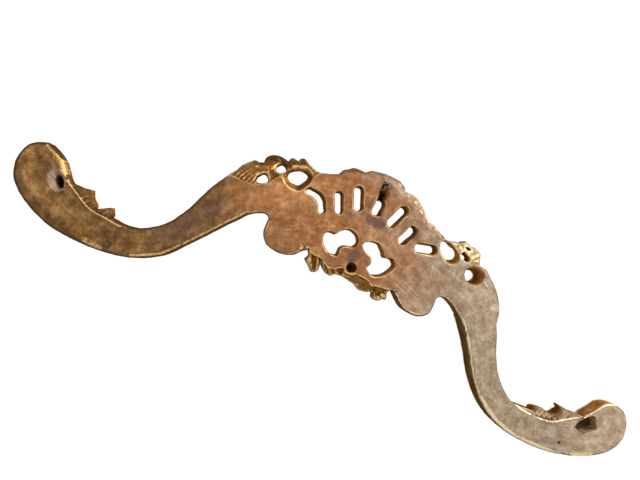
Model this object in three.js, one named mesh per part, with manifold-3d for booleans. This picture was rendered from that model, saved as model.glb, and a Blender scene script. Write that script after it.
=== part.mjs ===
// Carved and gilded over-door pediment: two scroll arms and a pierced shell between them, one piece of wood.
// Millimetres, +Z up. The flat back lies in the plane Y = 0, against the wall, and the carving faces -Y.
// A depth is measured from the back plane towards the front. A plan point is [x, z].
import * as THREE from 'three';
import { mergeVertices } from 'three/addons/utils/BufferGeometryUtils.js';
import Module from 'manifold-3d';

const wasm = await Module();
wasm.setup();

// Driving dimensions
const SPAN = 1100; // across the outsides of the two scroll heads
const GROUND_DEPTH = 31; // back plane to the sunk ground between the mouldings
const EDGE_DEPTH = 40; // back plane to the outer corner of the mouldings along the arms
const CREST_DEPTH = 44; // back plane to the crest of mouldings, volutes and ribs
const BOSS_DEPTH = 47; // back plane to the top of the round boss
const CREST_DIP = 2; // how far the ends of a roll lie below its crest
const FILLET_WIDTH = 13; // width of the raised moulding along each edge of an arm
const VOLUTE_HALF_WIDTH = 8; // half the width of a volute's roll
const RIM_HALF_WIDTH = 6; // half the width of the roll along the shell's rim
const RIB_HALF_WIDTH = 10; // half the width of a shell rib midway out
const LEAF_HALF_WIDTH = 8; // half the width of a leaf rib midway out
const LEAF_BOW = 0.3; // how far the outer ribs of a leaf bow sideways, as a share of their length
const LEAF_START = 0.15; // where a leaf's ribs leave its bud, as a share of their length
const BOSS_RADIUS = 21;
const EYE_RADIUS = 8; // button in the eye of a volute
const LEAF_CUT_DEPTH = 16; // how far the back of a shoulder leaf falls away from the wall
const LEAF_CUT_REACH = 36; // over what distance it falls so far
const RIM_CUT_DEPTH = 13; // how far the shell's rim stands off the wall
const RIM_CUT_REACH = 12;
const SPUR_CUT_DEPTH = 12; // how far the leaf tips on the arms stand off the wall
const SPUR_CUT_REACH = 12;
const DRILL_RADIUS = 9; // blind bore behind the boss
const DRILL_DEPTH = 22;
const HANGER_DEPTH = 24; // deep oval of the hanging pocket in the +X head
const HANGER_BEVEL_DEPTH = 6; // wide bevel round that oval
const POCKET_DEPTH = 17; // chopped hanging pocket in the -X head
const GOUGE_DEPTH = 26; // deep end of the split behind the middle slot

// The plan is drawn at this span and follows SPAN as shares of it.
const DRAWN_SPAN = 1100;
const PLAN = SPAN / DRAWN_SPAN;

// Facets
const ARM_STEP = 18;
const DETAIL_STEP = 7;
const SECTION_STEPS = 4;
const VOLUTE_STEP = 13;
const LEAF_STEP = 29;
const OVERCUT = 4; // how far tools and envelopes run past the surface that they meet

// Outline of the silhouette, as runs that meet at corners, from the pendant round by the +X side.
const PENDANT = [
  [[-77, -82], [-73, -88], [-74, -94], [-76, -99], [-74, -103], [-71, -101]],
  [[-71, -101], [-67, -107], [-60, -110], [-54, -107], [-52, -97]],
  [[-52, -97], [-41, -103], [-30, -106]],
  [[-30, -106], [-20, -101], [-4, -98], [8, -97], [21, -99]],
  [[21, -99], [25, -104], [34, -103], [43, -96], [49, -86]],
  [[49, -86], [48, -97], [48, -105], [56, -111], [63, -106], [75, -96]],
  [[75, -96], [72, -88], [77, -80]],
];
const PLUS_LOBE = [
  [77, -80], [85, -87], [97, -99], [120, -105], [141, -101], [154, -88], [157, -72], [157, -60],
];
const PLUS_ARM_LOWER = [
  [190, -69], [221, -108], [253, -149], [288, -189], [334, -212], [390, -221], [450, -219],
  [470, -215],
];
const PLUS_ARM_ROOT = [[157, -60], [163, -56], [176, -60], [190, -69]];
const PLUS_HEAD = [[470, -215], [500, -204], [534, -184], [551, -145], [545, -115], [518, -98]];
const PLUS_THROAT = [[518, -98], [502, -105], [487, -115], [474, -130], [462, -141]];
const PLUS_SPURS = [
  [[462, -141], [447, -141], [431, -138]],
  [[431, -138], [425, -150], [419, -156], [416, -164]],
  [[416, -164], [406, -160], [391, -151]],
  [[391, -151], [387, -160], [387, -166]],
];
const PLUS_ARM_UPPER = [
  [387, -166], [360, -167], [339, -163], [319, -152], [302, -138], [289, -120], [278, -99],
  [269, -75], [258, -50], [245, -25],
];
const PLUS_SHOULDER = [
  [[245, -25], [237, -12], [231, 1], [217, 18]],
  [[217, 18], [208, 17], [202, 19]],
  [[202, 19], [202, 28], [195, 36], [182, 40], [167, 38]],
  [[167, 38], [164, 46], [158, 47], [152, 46]],
  [[152, 46], [150, 52], [144, 54], [138, 51]],
];
const SHELL_RIM = [
  [[138, 51], [128, 47], [114, 43], [101, 46], [83, 54]],
  [[83, 54], [79, 64], [71, 70], [65, 75], [55, 77], [44, 76]],
  [[44, 76], [34, 84], [18, 88], [-2, 90], [-20, 88], [-30, 82], [-32, 76]],
  [[-32, 76], [-45, 78], [-60, 74], [-72, 65], [-85, 50]],
  [[-85, 50], [-99, 46], [-109, 43], [-117, 36]],
];
const MINUS_SHOULDER = [
  [[-117, 36], [-127, 32], [-140, 35], [-152, 39], [-159, 45]],
  [[-159, 45], [-167, 42], [-172, 40], [-177, 41], [-186, 38], [-191, 33], [-193, 25], [-196, 17]],
  [[-196, 17], [-210, 15], [-220, 7], [-231, -2], [-242, -12], [-252, -26]],
];
const MINUS_ARM_UPPER = [
  [-252, -26], [-259, -41], [-263, -60], [-272, -79], [-287, -113], [-302, -137], [-322, -156],
  [-345, -169], [-372, -169], [-388, -168],
];
const MINUS_SPURS = [
  [[-388, -168], [-391, -162], [-397, -160], [-410, -159], [-422, -161]],
  [[-422, -161], [-430, -157], [-433, -150], [-429, -141]],
  [[-429, -141], [-440, -142], [-455, -143], [-470, -141]],
];
const MINUS_THROAT = [
  [-470, -141], [-478, -130], [-486, -119], [-493, -109], [-503, -102], [-516, -100],
];
const MINUS_HEAD = [
  [-516, -100], [-530, -105], [-542, -117], [-549, -143], [-543, -165], [-529, -182], [-506, -198],
  [-475, -211],
];
const MINUS_ARM_LOWER = [
  [-475, -211], [-435, -220], [-392, -222], [-347, -217], [-307, -200], [-270, -167], [-231, -112],
  [-204, -79],
];
const MINUS_ARM_ROOT = [[-204, -79], [-180, -63], [-163, -58], [-155, -60], [-151, -65]];
const MINUS_LOBE = [
  [-151, -65], [-152, -78], [-150, -92], [-140, -102], [-126, -106], [-108, -104], [-92, -95],
  [-77, -82],
];

// Piercings
const SLOTS = [
  { tips: [[119, 10], [80, -14]], width: 11, bow: 8 },
  { tips: [[71, 27], [56, -5]], width: 11, bow: 0 },
  { tips: [[44, 49], [29, 13]], width: 13, bow: 0 },
  { tips: [[0, 45], [1, 19]], width: 13, bow: 0 },
  { tips: [[-42, 50], [-28, 12]], width: 13, bow: 0 },
  { tips: [[-70, 27], [-57, -6]], width: 13, bow: 0 },
  { tips: [[-118, 8], [-83, -2]], width: 13, bow: 0 },
];
const PLUS_WING = [
  [[31, -68], [42, -69], [51, -65], [60, -56], [62, -44], [56, -39], [45, -38], [39, -29],
    [28, -22], [15, -25], [8, -35], [12, -44], [25, -48], [31, -56], [31, -68]],
];
const MINUS_WING = [
  [[-24, -67], [-28, -57], [-24, -48], [-11, -43], [-3, -35], [-9, -27], [-24, -23], [-33, -28],
    [-44, -39], [-57, -37], [-63, -43], [-59, -56], [-49, -68], [-36, -73], [-24, -67]],
];

// Eyelets in the shoulder leaves: outline at the back, the point that it draws in towards, and how far.
const EYELETS = [
  {
    rim: [[203, -14], [203, -7], [199, -1], [192, 4], [187, 2], [183, -6], [188, -12], [196, -15]],
    toward: [192, -4],
    share: 0.1,
  },
  {
    rim: [[180, 17], [180, 24], [175, 29], [166, 28], [163, 22], [169, 15], [176, 14]],
    toward: [172, 23],
    share: 0.05,
  },
  {
    rim: [[163, 11], [163, 18], [156, 28], [145, 34], [132, 35], [121, 31], [121, 22], [126, 12],
      [132, 3], [142, 1], [153, 3]],
    toward: [143, 30],
    share: 0.3,
  },
  {
    rim: [[-177, -8], [-178, 2], [-187, 10], [-197, 12], [-207, 7], [-210, -3], [-206, -14],
      [-196, -18], [-185, -16]],
    toward: [-195, -6],
    share: 0.4,
  },
  {
    rim: [[-158, 19], [-162, 26], [-169, 25], [-177, 19], [-175, 13], [-168, 13], [-161, 15]],
    toward: [-168, 19],
    share: 0.2,
  },
  {
    rim: [[-119, 25], [-122, 14], [-130, 5], [-144, -1], [-155, 1], [-160, 10], [-157, 19],
      [-145, 27], [-135, 30], [-125, 30]],
    toward: [-146, 28],
    share: 0.2,
  },
];

// Cuts from the back
const RIM_BACK_EDGE = [[88, 48], [55, 64], [25, 74], [-5, 76], [-27, 68], [-55, 58], [-78, 42], [-112, 32]];
const PLUS_SPUR_BACK_EDGE = [[468, -140], [437, -157], [408, -167], [365, -171], [338, -163]];
const MINUS_SPUR_BACK_EDGE = [[-345, -170], [-380, -174], [-420, -171], [-440, -161], [-470, -142]];
const PLUS_LEAF_BACK_EDGE = [[252, -36], [216, -24], [182, -6], [150, 14], [112, 42]];
const MINUS_LEAF_BACK_EDGE = [[-120, 32], [-150, 26], [-190, 15], [-222, 2], [-252, -27]];
const HANGER = { at: [482, -146], bevel: [37, 29], ovalAt: [479, -147], oval: [23, 13], tilt: 0.94 };
const POCKET = [
  [-461, -163], [-462, -155], [-466, -149], [-474, -140], [-483, -133], [-488, -133], [-498, -149],
  [-496, -154], [-479, -169], [-471, -168],
];
const DRILL_AT = [0, -77];
const GOUGE = { from: [0, 41], to: [3, 75], width: 17 };

// Carving on the front
const ARM_PROFILE = [
  [0, EDGE_DEPTH], [0.3, CREST_DEPTH], [0.75, CREST_DEPTH], [1, GROUND_DEPTH + 5], [1.5, GROUND_DEPTH + 2],
]; // moulding along an arm's edge: fillet widths in from the edge, and depths
const ARM_UPPER_GUIDE = [
  [252, -40], [266, -76], [276, -100], [300, -140], [338, -166], [388, -170], [436, -161], [466, -142],
]; // edge that the upper moulding of the +X arm follows, under the leaf tips
const BOSS_AT = [-2, -62];
const SHELL_FOCUS = [0, -50];
const SHELL_ANGLES = [166, 145, 124, 102, 79, 56, 35, 14];
const SHELL_INNER = 34;
const SHELL_OUTER = 134;
const SHELL_LOW_OUTER = 106; // the lowest rib on each side ends short of the volute
const VOLUTES = [
  { eye: [507, -152], path: [[458, -206], [490, -198], [519, -186], [538, -164], [541, -141], [531, -119],
    [515, -111], [499, -120], [487, -137], [486, -156], [498, -169], [514, -169], [523, -157], [519, -144]] },
  { eye: [-506, -153], path: [[-458, -206], [-490, -196], [-517, -181], [-536, -162], [-541, -142],
    [-533, -119], [-515, -112], [-499, -120], [-488, -137], [-486, -156], [-497, -170], [-513, -170],
    [-522, -158], [-518, -145]] },
  { eye: [110, -63], path: [[140, -14], [150, -38], [150, -62], [148, -80], [139, -92], [121, -97],
    [103, -91], [91, -76], [90, -59], [101, -46], [117, -45], [127, -56], [126, -69], [115, -76]] },
  { eye: [-107, -64], path: [[-134, -14], [-144, -38], [-144, -62], [-144, -80], [-138, -94], [-124, -99],
    [-107, -96], [-92, -83], [-87, -65], [-95, -50], [-111, -45], [-123, -54], [-125, -68], [-115, -76]] },
];
const RIM_ROLL = [
  [126, 36], [102, 37], [84, 47], [74, 62], [57, 72], [42, 70], [22, 82], [-2, 85], [-24, 80], [-34, 70],
  [-52, 70], [-70, 60], [-84, 46], [-104, 40], [-122, 26],
];
const LEAVES = [
  { root: [222, -74], tips: [[245, -24], [231, 1], [216, 16], [196, 34], [177, 38], [160, 46], [145, 52]] },
  { root: [-222, -74], tips: [[-249, -24], [-231, -1], [-212, 13], [-190, 32], [-176, 39], [-159, 44],
    [-140, 33]] },
  { root: [-2, -72], tips: [[74, -97], [56, -110], [32, -104], [8, -96], [-12, -99], [-30, -106], [-60, -111],
    [-75, -103]] },
  { root: [368, -194], tips: [[391, -152], [418, -157], [433, -139], [462, -158], [464, -182], [440, -206]] },
  { root: [-368, -194], tips: [[-392, -161], [-420, -161], [-430, -143], [-464, -160], [-464, -182],
    [-440, -206]] },
];

const vector = ([x, z]) => new THREE.Vector2(x * PLAN, z * PLAN);
const flat = (p) => new THREE.Vector2(p.x, p.y);

// Smooth curve through plan points.
function curveOf(points) {
  const knots = points.map(vector).map((p) => new THREE.Vector3(p.x, p.y, 0));
  return new THREE.CatmullRomCurve3(knots, false, 'centripetal');
}

// Points along such a curve, with facets of about the given length.
function smooth(points, step) {
  const curve = curveOf(points);
  const count = Math.max(2, Math.round(curve.getLength() / (step * PLAN)));
  return curve.getSpacedPoints(count).map(flat);
}

// Closed loop from runs that meet end to end.
function loopOf(runs) {
  return runs.flatMap(({ points, step }) => smooth(points, step).slice(0, -1));
}

const detailed = (runs) => runs.map((points) => ({ points, step: DETAIL_STEP }));
const plain = (runs) => runs.map((points) => ({ points, step: ARM_STEP }));

function ellipseLoop(at, size, tilt = 0) {
  const centre = vector(at);
  const [a, b] = size.map((across) => across / 2);
  const curve = new THREE.EllipseCurve(centre.x, centre.y, a, b, 0, 2 * Math.PI, false, tilt);
  return curve.getPoints(12).slice(0, -1);
}

// Slot with round ends along a line between its two tips, bowed sideways midway.
function slotLoop({ tips, width, bow }) {
  const [a, b] = tips.map(vector);
  const forward = b.clone().sub(a).normalize();
  const across = new THREE.Vector2(forward.y, -forward.x);
  const radius = width / 2;
  const length = a.distanceTo(b) - width;
  const at = (t, side, ahead) => a.clone()
    .addScaledVector(forward, radius + length * t + ahead)
    .addScaledVector(across, 4 * bow * t * (1 - t) + side);
  const end = (t, turn) => [0, 1, 2, 3, 4].map((k) => {
    const angle = turn + (Math.PI * k) / 4;
    return at(t, radius * Math.cos(angle), radius * Math.sin(angle));
  });
  const between = bow ? [0.25, 0.5, 0.75] : [];
  return [
    ...end(1, 0),
    ...between.map((t) => at(1 - t, -radius, 0)),
    ...end(0, Math.PI),
    ...between.map((t) => at(t, radius, 0)),
  ];
}

// Closed mesh as a solid, turned the right way out.
function solid(geometry) {
  geometry.deleteAttribute('normal');
  geometry.deleteAttribute('uv');
  const merged = mergeVertices(geometry, 1e-4);
  const position = merged.attributes.position.array;
  const index = merged.index.array;
  const [a, b, c] = [new THREE.Vector3(), new THREE.Vector3(), new THREE.Vector3()];
  let volume = 0;
  for (let i = 0; i < index.length; i += 3) {
    a.fromArray(position, 3 * index[i]);
    b.fromArray(position, 3 * index[i + 1]);
    c.fromArray(position, 3 * index[i + 2]);
    volume += a.dot(b.cross(c));
  }
  const triangles = new Uint32Array(index);
  if (volume < 0) triangles.reverse();
  const mesh = new wasm.Mesh({ numProp: 3, vertProperties: new Float32Array(position), triVerts: triangles });
  return new wasm.Manifold(mesh);
}

// Straight prism of a plan loop between two depths.
function prism(loop, backDepth, frontDepth) {
  const geometry = new THREE.ExtrudeGeometry(new THREE.Shape(loop), {
    depth: frontDepth - backDepth,
    bevelEnabled: false,
  });
  geometry.rotateX(Math.PI / 2);
  geometry.translate(0, -backDepth, 0);
  return solid(geometry);
}

// Triangles that close a flat ring of points.
function capOf(ring) {
  const normal = new THREE.Vector3();
  ring.forEach((p, i) => normal.add(p.clone().cross(ring[(i + 1) % ring.length])));
  const u = ring[1].clone().sub(ring[0]).normalize();
  const v = normal.normalize().cross(u);
  const outline = ring.map((p) => new THREE.Vector2(p.dot(u), p.dot(v)));
  return THREE.ShapeUtils.triangulateShape(outline, []);
}

// Solid through rings of equally many points, closed at both ends.
function loft(rings) {
  const size = rings[0].length;
  const position = rings.flat().flatMap((p) => [p.x, p.y, p.z]);
  const index = [];
  for (let i = 0; i + 1 < rings.length; i += 1) {
    for (let j = 0; j < size; j += 1) {
      const a = i * size + j;
      const b = i * size + ((j + 1) % size);
      index.push(a, b, b + size, a, b + size, a + size);
    }
  }
  const last = (rings.length - 1) * size;
  for (const [p, q, r] of capOf(rings[0])) index.push(p, r, q);
  for (const [p, q, r] of capOf(rings[rings.length - 1])) index.push(last + p, last + q, last + r);
  const geometry = new THREE.BufferGeometry();
  geometry.setAttribute('position', new THREE.Float32BufferAttribute(position, 3));
  geometry.setIndex(index);
  return solid(geometry);
}

const place = (p, depth) => new THREE.Vector3(p.x, -depth, p.y);

function normals(path) {
  return path.map((p, i) => {
    const before = path[Math.max(i - 1, 0)];
    const after = path[Math.min(i + 1, path.length - 1)];
    const forward = after.clone().sub(before).normalize();
    return new THREE.Vector2(-forward.y, forward.x);
  });
}

// Value at the share t of the way through a list of values.
function along(values, t) {
  const position = t * (values.length - 1);
  const before = Math.min(Math.floor(position), values.length - 2);
  return THREE.MathUtils.lerp(values[before], values[before + 1], position - before);
}

// Half-round roll on the ground along a path, with its half widths and its crest depths from end to end.
function roll(path, halfWidths, crests) {
  const base = GROUND_DEPTH - OVERCUT;
  const sides = normals(path);
  return loft(path.map((p, i) => {
    const t = i / (path.length - 1);
    const halfWidth = along(halfWidths, t) * PLAN;
    const height = along(crests, t) - base;
    const ring = [];
    for (let k = 0; k <= SECTION_STEPS; k += 1) {
      const angle = (Math.PI * k) / SECTION_STEPS;
      const at = p.clone().addScaledVector(sides[i], halfWidth * Math.cos(angle));
      ring.push(place(at, base + height * Math.sin(angle)));
    }
    return ring;
  }));
}

// Envelope of an arm: a raised fillet along each edge and a hollow between them.
function armEnvelope(upper, lower) {
  const [top, bottom] = [upper, lower].map(curveOf);
  const stations = Math.round(top.getLength() / (ARM_STEP * PLAN));
  const edges = [top, bottom].map((curve) => curve.getSpacedPoints(stations).map(flat));
  const half = [
    [-OVERCUT, EDGE_DEPTH],
    ...ARM_PROFILE.map(([widths, depth]) => [widths * FILLET_WIDTH, depth]),
  ];
  const rings = edges[0].map((a, i) => {
    const b = edges[1][i];
    const across = b.clone().sub(a).normalize();
    const ring = [place(a.clone().addScaledVector(across, -OVERCUT), 0)];
    for (const [distance, depth] of half) {
      ring.push(place(a.clone().addScaledVector(across, distance), depth));
    }
    ring.push(place(a.clone().lerp(b, 0.5), GROUND_DEPTH));
    for (const [distance, depth] of half.slice().reverse()) {
      ring.push(place(b.clone().addScaledVector(across, -distance), depth));
    }
    ring.push(place(b.clone().addScaledVector(across, OVERCUT), 0));
    return ring;
  });
  return loft(rings);
}

// Sloping cut on the back, out from the right-hand side of an edge: nothing along the edge, the depth at
// the reach, and as steep on to so many times the reach.
function backCut(points, reach, depth, beyond = 1) {
  const edge = smooth(points, ARM_STEP);
  const sides = normals(edge);
  const rings = edge.map((p, i) => {
    const out = p.clone().addScaledVector(sides[i], -reach * beyond);
    const inner = p.clone().addScaledVector(sides[i], (reach * OVERCUT) / depth);
    return [place(inner, -OVERCUT), place(out, depth * beyond), place(out, -OVERCUT)];
  });
  return loft(rings);
}

// Hole through rings of equally many points, each at its own depth.
function pit(levels) {
  return loft(levels.map(({ loop, depth }) => loop.map((p) => place(p, depth))));
}

// Through hole, as wide as its rim at the back and drawn in towards a point by a share at the front.
function eyelet({ rim, toward, share }) {
  const back = loopOf(detailed([[...rim, rim[0]]]));
  const front = back.map((p) => p.clone().lerp(vector(toward), share));
  return pit([
    { loop: back, depth: -OVERCUT },
    { loop: back, depth: 0 },
    { loop: front, depth: EDGE_DEPTH },
    { loop: front, depth: BOSS_DEPTH + 2 * OVERCUT },
  ]);
}

function hangerPit() {
  const bevel = ellipseLoop(HANGER.at, HANGER.bevel, HANGER.tilt);
  const oval = ellipseLoop(HANGER.ovalAt, HANGER.oval, HANGER.tilt);
  return pit([
    { loop: bevel, depth: -OVERCUT },
    { loop: bevel, depth: 0 },
    { loop: oval, depth: HANGER_BEVEL_DEPTH },
    { loop: oval, depth: HANGER_DEPTH },
  ]);
}

// Split behind the middle slot, deep at the slot and running out towards the rim.
function gougePit() {
  const [deep, shallow] = [GOUGE.from, GOUGE.to].map(vector);
  const half = GOUGE.width / 2;
  return loft([[deep, GOUGE_DEPTH], [shallow, 1]].map(([p, depth]) => [
    new THREE.Vector3(p.x - half, OVERCUT, p.y),
    new THREE.Vector3(p.x - half, -depth, p.y),
    new THREE.Vector3(p.x + half, -depth, p.y),
    new THREE.Vector3(p.x + half, OVERCUT, p.y),
  ]));
}

// Round button standing on the ground.
function dome(at, radius, crest) {
  const base = GROUND_DEPTH - OVERCUT;
  const levels = radius > EYE_RADIUS ? 4 : 3;
  const profile = [new THREE.Vector2(0, 0)];
  for (let k = 0; k < levels; k += 1) {
    const angle = (Math.PI / 2) * (k / levels);
    profile.push(new THREE.Vector2(radius * Math.cos(angle), (crest - base) * Math.sin(angle)));
  }
  profile.push(new THREE.Vector2(0, crest - base));
  const geometry = new THREE.LatheGeometry(profile, 2 * levels + 2);
  const centre = vector(at);
  geometry.rotateX(Math.PI);
  geometry.translate(centre.x, -base, centre.y);
  return solid(geometry);
}

// Ribs of a leaf, fanned from a bud at its root, each bowed a little, fullest midway and lower at its tip.
function leaf({ root, tips }) {
  const from = (tip, share) => root.map((value, axis) => value + share * (tip[axis] - value));
  const [first, last] = [tips[0], tips[tips.length - 1]].map((tip) => vector(tip).sub(vector(root)));
  const turn = Math.sign(first.cross(last));
  const halfWidths = [0.6, 1, 0.7].map((share) => share * LEAF_HALF_WIDTH);
  const crests = [CREST_DEPTH - CREST_DIP, CREST_DEPTH, EDGE_DEPTH];
  const ribs = tips.map((tip, i) => {
    const lean = turn * LEAF_BOW * (i / (tips.length - 1) - 0.5);
    const middle = from(tip, 0.5);
    const bowed = [middle[0] - lean * (tip[1] - root[1]), middle[1] + lean * (tip[0] - root[0])];
    return roll(smooth([from(tip, LEAF_START), bowed, tip], LEAF_STEP), halfWidths, crests);
  });
  return [dome(root, LEAF_HALF_WIDTH, CREST_DEPTH), ...ribs];
}

// Ribs of the shell, fanned from its focus, broader and higher towards the rim.
function shellRibs() {
  const halfWidths = [0.5, 1, 1.4].map((share) => share * RIB_HALF_WIDTH);
  const crests = [GROUND_DEPTH + 2 * CREST_DIP, CREST_DEPTH - CREST_DIP, CREST_DEPTH - CREST_DIP / 2];
  return SHELL_ANGLES.map((degrees, i) => {
    const lowest = i === 0 || i === SHELL_ANGLES.length - 1;
    const outer = lowest ? SHELL_LOW_OUTER : SHELL_OUTER;
    const angle = THREE.MathUtils.degToRad(degrees);
    const path = [SHELL_INNER, 0.5 * (SHELL_INNER + outer), outer].map((radius) => vector([
      SHELL_FOCUS[0] + radius * Math.cos(angle),
      SHELL_FOCUS[1] + radius * Math.sin(angle),
    ]));
    return roll(path, halfWidths, crests);
  });
}

function volutes() {
  const halfWidths = [1, 1, 0.6].map((share) => share * VOLUTE_HALF_WIDTH);
  return VOLUTES.flatMap(({ eye, path }) => [
    roll(smooth(path, VOLUTE_STEP), halfWidths, [CREST_DEPTH, CREST_DEPTH - CREST_DIP]),
    dome(eye, EYE_RADIUS, CREST_DEPTH),
  ]);
}

// Roll along the shell's scalloped rim, running out at both ends.
function rimRoll() {
  const halfWidths = [0.5, 1, 1, 1, 1, 1, 0.5].map((share) => share * RIM_HALF_WIDTH);
  const low = GROUND_DEPTH + CREST_DIP;
  const near = CREST_DEPTH - CREST_DIP;
  const crests = [low, near, CREST_DEPTH, CREST_DEPTH, CREST_DEPTH, near, low];
  return roll(smooth(RIM_ROLL, ARM_STEP), halfWidths, crests);
}

function carvedPediment() {
  const outline = loopOf([
    ...detailed([...PENDANT, PLUS_LOBE, PLUS_ARM_ROOT]),
    ...plain([PLUS_ARM_LOWER, PLUS_HEAD, PLUS_THROAT]),
    ...detailed(PLUS_SPURS),
    ...plain([PLUS_ARM_UPPER]),
    ...detailed([...PLUS_SHOULDER, ...SHELL_RIM, ...MINUS_SHOULDER]),
    ...plain([MINUS_ARM_UPPER]),
    ...detailed(MINUS_SPURS),
    ...plain([MINUS_THROAT, MINUS_HEAD, MINUS_ARM_LOWER]),
    ...detailed([MINUS_ARM_ROOT, MINUS_LOBE]),
  ]);
  const blank = prism(outline, 0, BOSS_DEPTH + OVERCUT);
  const sheet = [[-1, -1], [1, -1], [1, 1], [-1, 1]].map(([x, z]) => new THREE.Vector2(x * SPAN, z * SPAN));
  const carving = [
    prism(sheet, 0, GROUND_DEPTH),
    armEnvelope(ARM_UPPER_GUIDE, PLUS_ARM_LOWER),
    armEnvelope(ARM_UPPER_GUIDE.map(([x, z]) => [-x, z]), MINUS_ARM_LOWER.slice().reverse()),
    ...volutes(),
    ...shellRibs(),
    rimRoll(),
    dome(BOSS_AT, BOSS_RADIUS, BOSS_DEPTH),
    ...LEAVES.flatMap(leaf),
  ];
  const front = wasm.Manifold.union(carving);
  const piercings = [
    ...SLOTS.map(slotLoop),
    loopOf(detailed(PLUS_WING)),
    loopOf(detailed(MINUS_WING)),
  ].map((loop) => prism(loop, -OVERCUT, BOSS_DEPTH + 2 * OVERCUT));
  const cuts = [
    ...EYELETS.map(eyelet),
    backCut(RIM_BACK_EDGE, RIM_CUT_REACH, RIM_CUT_DEPTH, 2),
    backCut(PLUS_SPUR_BACK_EDGE, SPUR_CUT_REACH, SPUR_CUT_DEPTH, 2),
    backCut(MINUS_SPUR_BACK_EDGE, SPUR_CUT_REACH, SPUR_CUT_DEPTH, 2),
    backCut(PLUS_LEAF_BACK_EDGE, LEAF_CUT_REACH, LEAF_CUT_DEPTH),
    backCut(MINUS_LEAF_BACK_EDGE, LEAF_CUT_REACH, LEAF_CUT_DEPTH),
    hangerPit(),
    prism(POCKET.map(vector), -OVERCUT, POCKET_DEPTH),
    prism(ellipseLoop(DRILL_AT, [2 * DRILL_RADIUS, 2 * DRILL_RADIUS]), -OVERCUT, DRILL_DEPTH),
    gougePit(),
  ];
  return blank.intersect(front).subtract(wasm.Manifold.union([...piercings, ...cuts]));
}

function meshOf(name, body, material) {
  const { vertProperties, triVerts } = body.getMesh();
  const geometry = new THREE.BufferGeometry();
  geometry.setAttribute('position', new THREE.BufferAttribute(vertProperties, 3));
  geometry.setIndex(new THREE.BufferAttribute(triVerts, 1));
  geometry.computeVertexNormals();
  const mesh = new THREE.Mesh(geometry, material);
  mesh.name = name;
  return mesh;
}

const giltWood = new THREE.MeshStandardMaterial({ color: 0x9a7444, roughness: 0.55, metalness: 0.35 });

const pediment = new THREE.Group();
pediment.add(meshOf('carved_pediment', carvedPediment(), giltWood));

export default pediment;
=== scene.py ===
import math
from functools import partialmethod

import bpy
import numpy as np
from mathutils import Matrix, Vector, geometry, kdtree


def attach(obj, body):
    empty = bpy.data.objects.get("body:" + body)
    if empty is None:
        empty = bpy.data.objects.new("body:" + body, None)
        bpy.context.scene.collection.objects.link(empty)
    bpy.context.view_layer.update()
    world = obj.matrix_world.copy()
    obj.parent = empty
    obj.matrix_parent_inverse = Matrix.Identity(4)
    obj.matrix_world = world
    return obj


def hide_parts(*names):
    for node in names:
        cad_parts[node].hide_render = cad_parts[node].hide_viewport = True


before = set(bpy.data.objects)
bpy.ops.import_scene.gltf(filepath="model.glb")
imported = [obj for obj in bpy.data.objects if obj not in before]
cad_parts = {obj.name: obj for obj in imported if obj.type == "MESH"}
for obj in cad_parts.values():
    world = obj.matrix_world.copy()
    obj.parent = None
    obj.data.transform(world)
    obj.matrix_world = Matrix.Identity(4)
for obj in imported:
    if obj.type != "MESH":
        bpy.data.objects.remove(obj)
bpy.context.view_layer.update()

# Carved and gilded over-door pediment, one piece of wood, seen from its painted back.
# Lengths are millimetres until the mesh is made. A plan point is [x, z], with z up.
# A depth is measured from the flat back in the plane Y = 0 towards the carved front, which faces -Y.
MM = 0.001

# Depths and widths of the carving on the front
GROUND_DEPTH = 31.0
EDGE_DEPTH = 40.0
CREST_DEPTH = 44.0
BOSS_DEPTH = 47.0
ROLL_BASE = GROUND_DEPTH - 4.0
CREST_DIP = 2.0
FILLET_WIDTH = 13.0
VOLUTE_HALF_WIDTH = 8.0
RIM_HALF_WIDTH = 6.0
RIB_HALF_WIDTH = 10.0
LEAF_HALF_WIDTH = 8.0
LEAF_BOW = 0.3
LEAF_START = 0.15
BOSS_RADIUS = 21.0
EYE_RADIUS = 8.0
FRONT_ARRIS_WIDTH = 2.0
FRONT_ARRIS_DEPTH = 1.8
ROUNDING_POWER = 1.6
ARM_REACH = 95.0
ARM_FADE = 10.0
HEAD_START = (455, 475)
HEAD_BORDER = [(0, 36), (2, 39), (6, 40), (9, GROUND_DEPTH)]
SLOT_FLARE = 1.3  # how much wider the slots and wings are at the back

# Facet lengths of the fine mesh, steps along carved paths, and how close grid points come to a boundary
ARM_FACET = 2.3
LEAF_FACET = 1.5
COARSE_GRID = 2.4
FINE_GRID = 1.62
ROUND_FACET = 1.4
ROUND_END_POINTS = 16
WALL_ROWS = 6
PATH_STEP = 3.0
GUIDE_STEP = 4.0
SPINE_STEP = 6.0
RING_OFFSETS = (0.9, 2.1)
RING_CLEARANCE = 0.85
GRID_CLEARANCE = 0.62

# Finish: where the paint of the back ends in the walls, sharpest angle that is shaded smooth, how flow,
# hollows and crests are measured, and half width of a scratch
PAINT_END = (-34, -22)
SMOOTH_ANGLE = 55
FLOW_LENGTH = 1400.0
HOLLOW_ROUNDS = 4
FULL_HOLLOW = 0.9
FULL_CREST = 0.7
SCRATCH_WIDTH = 1.3
HATCH_PITCH = 1.6

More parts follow.
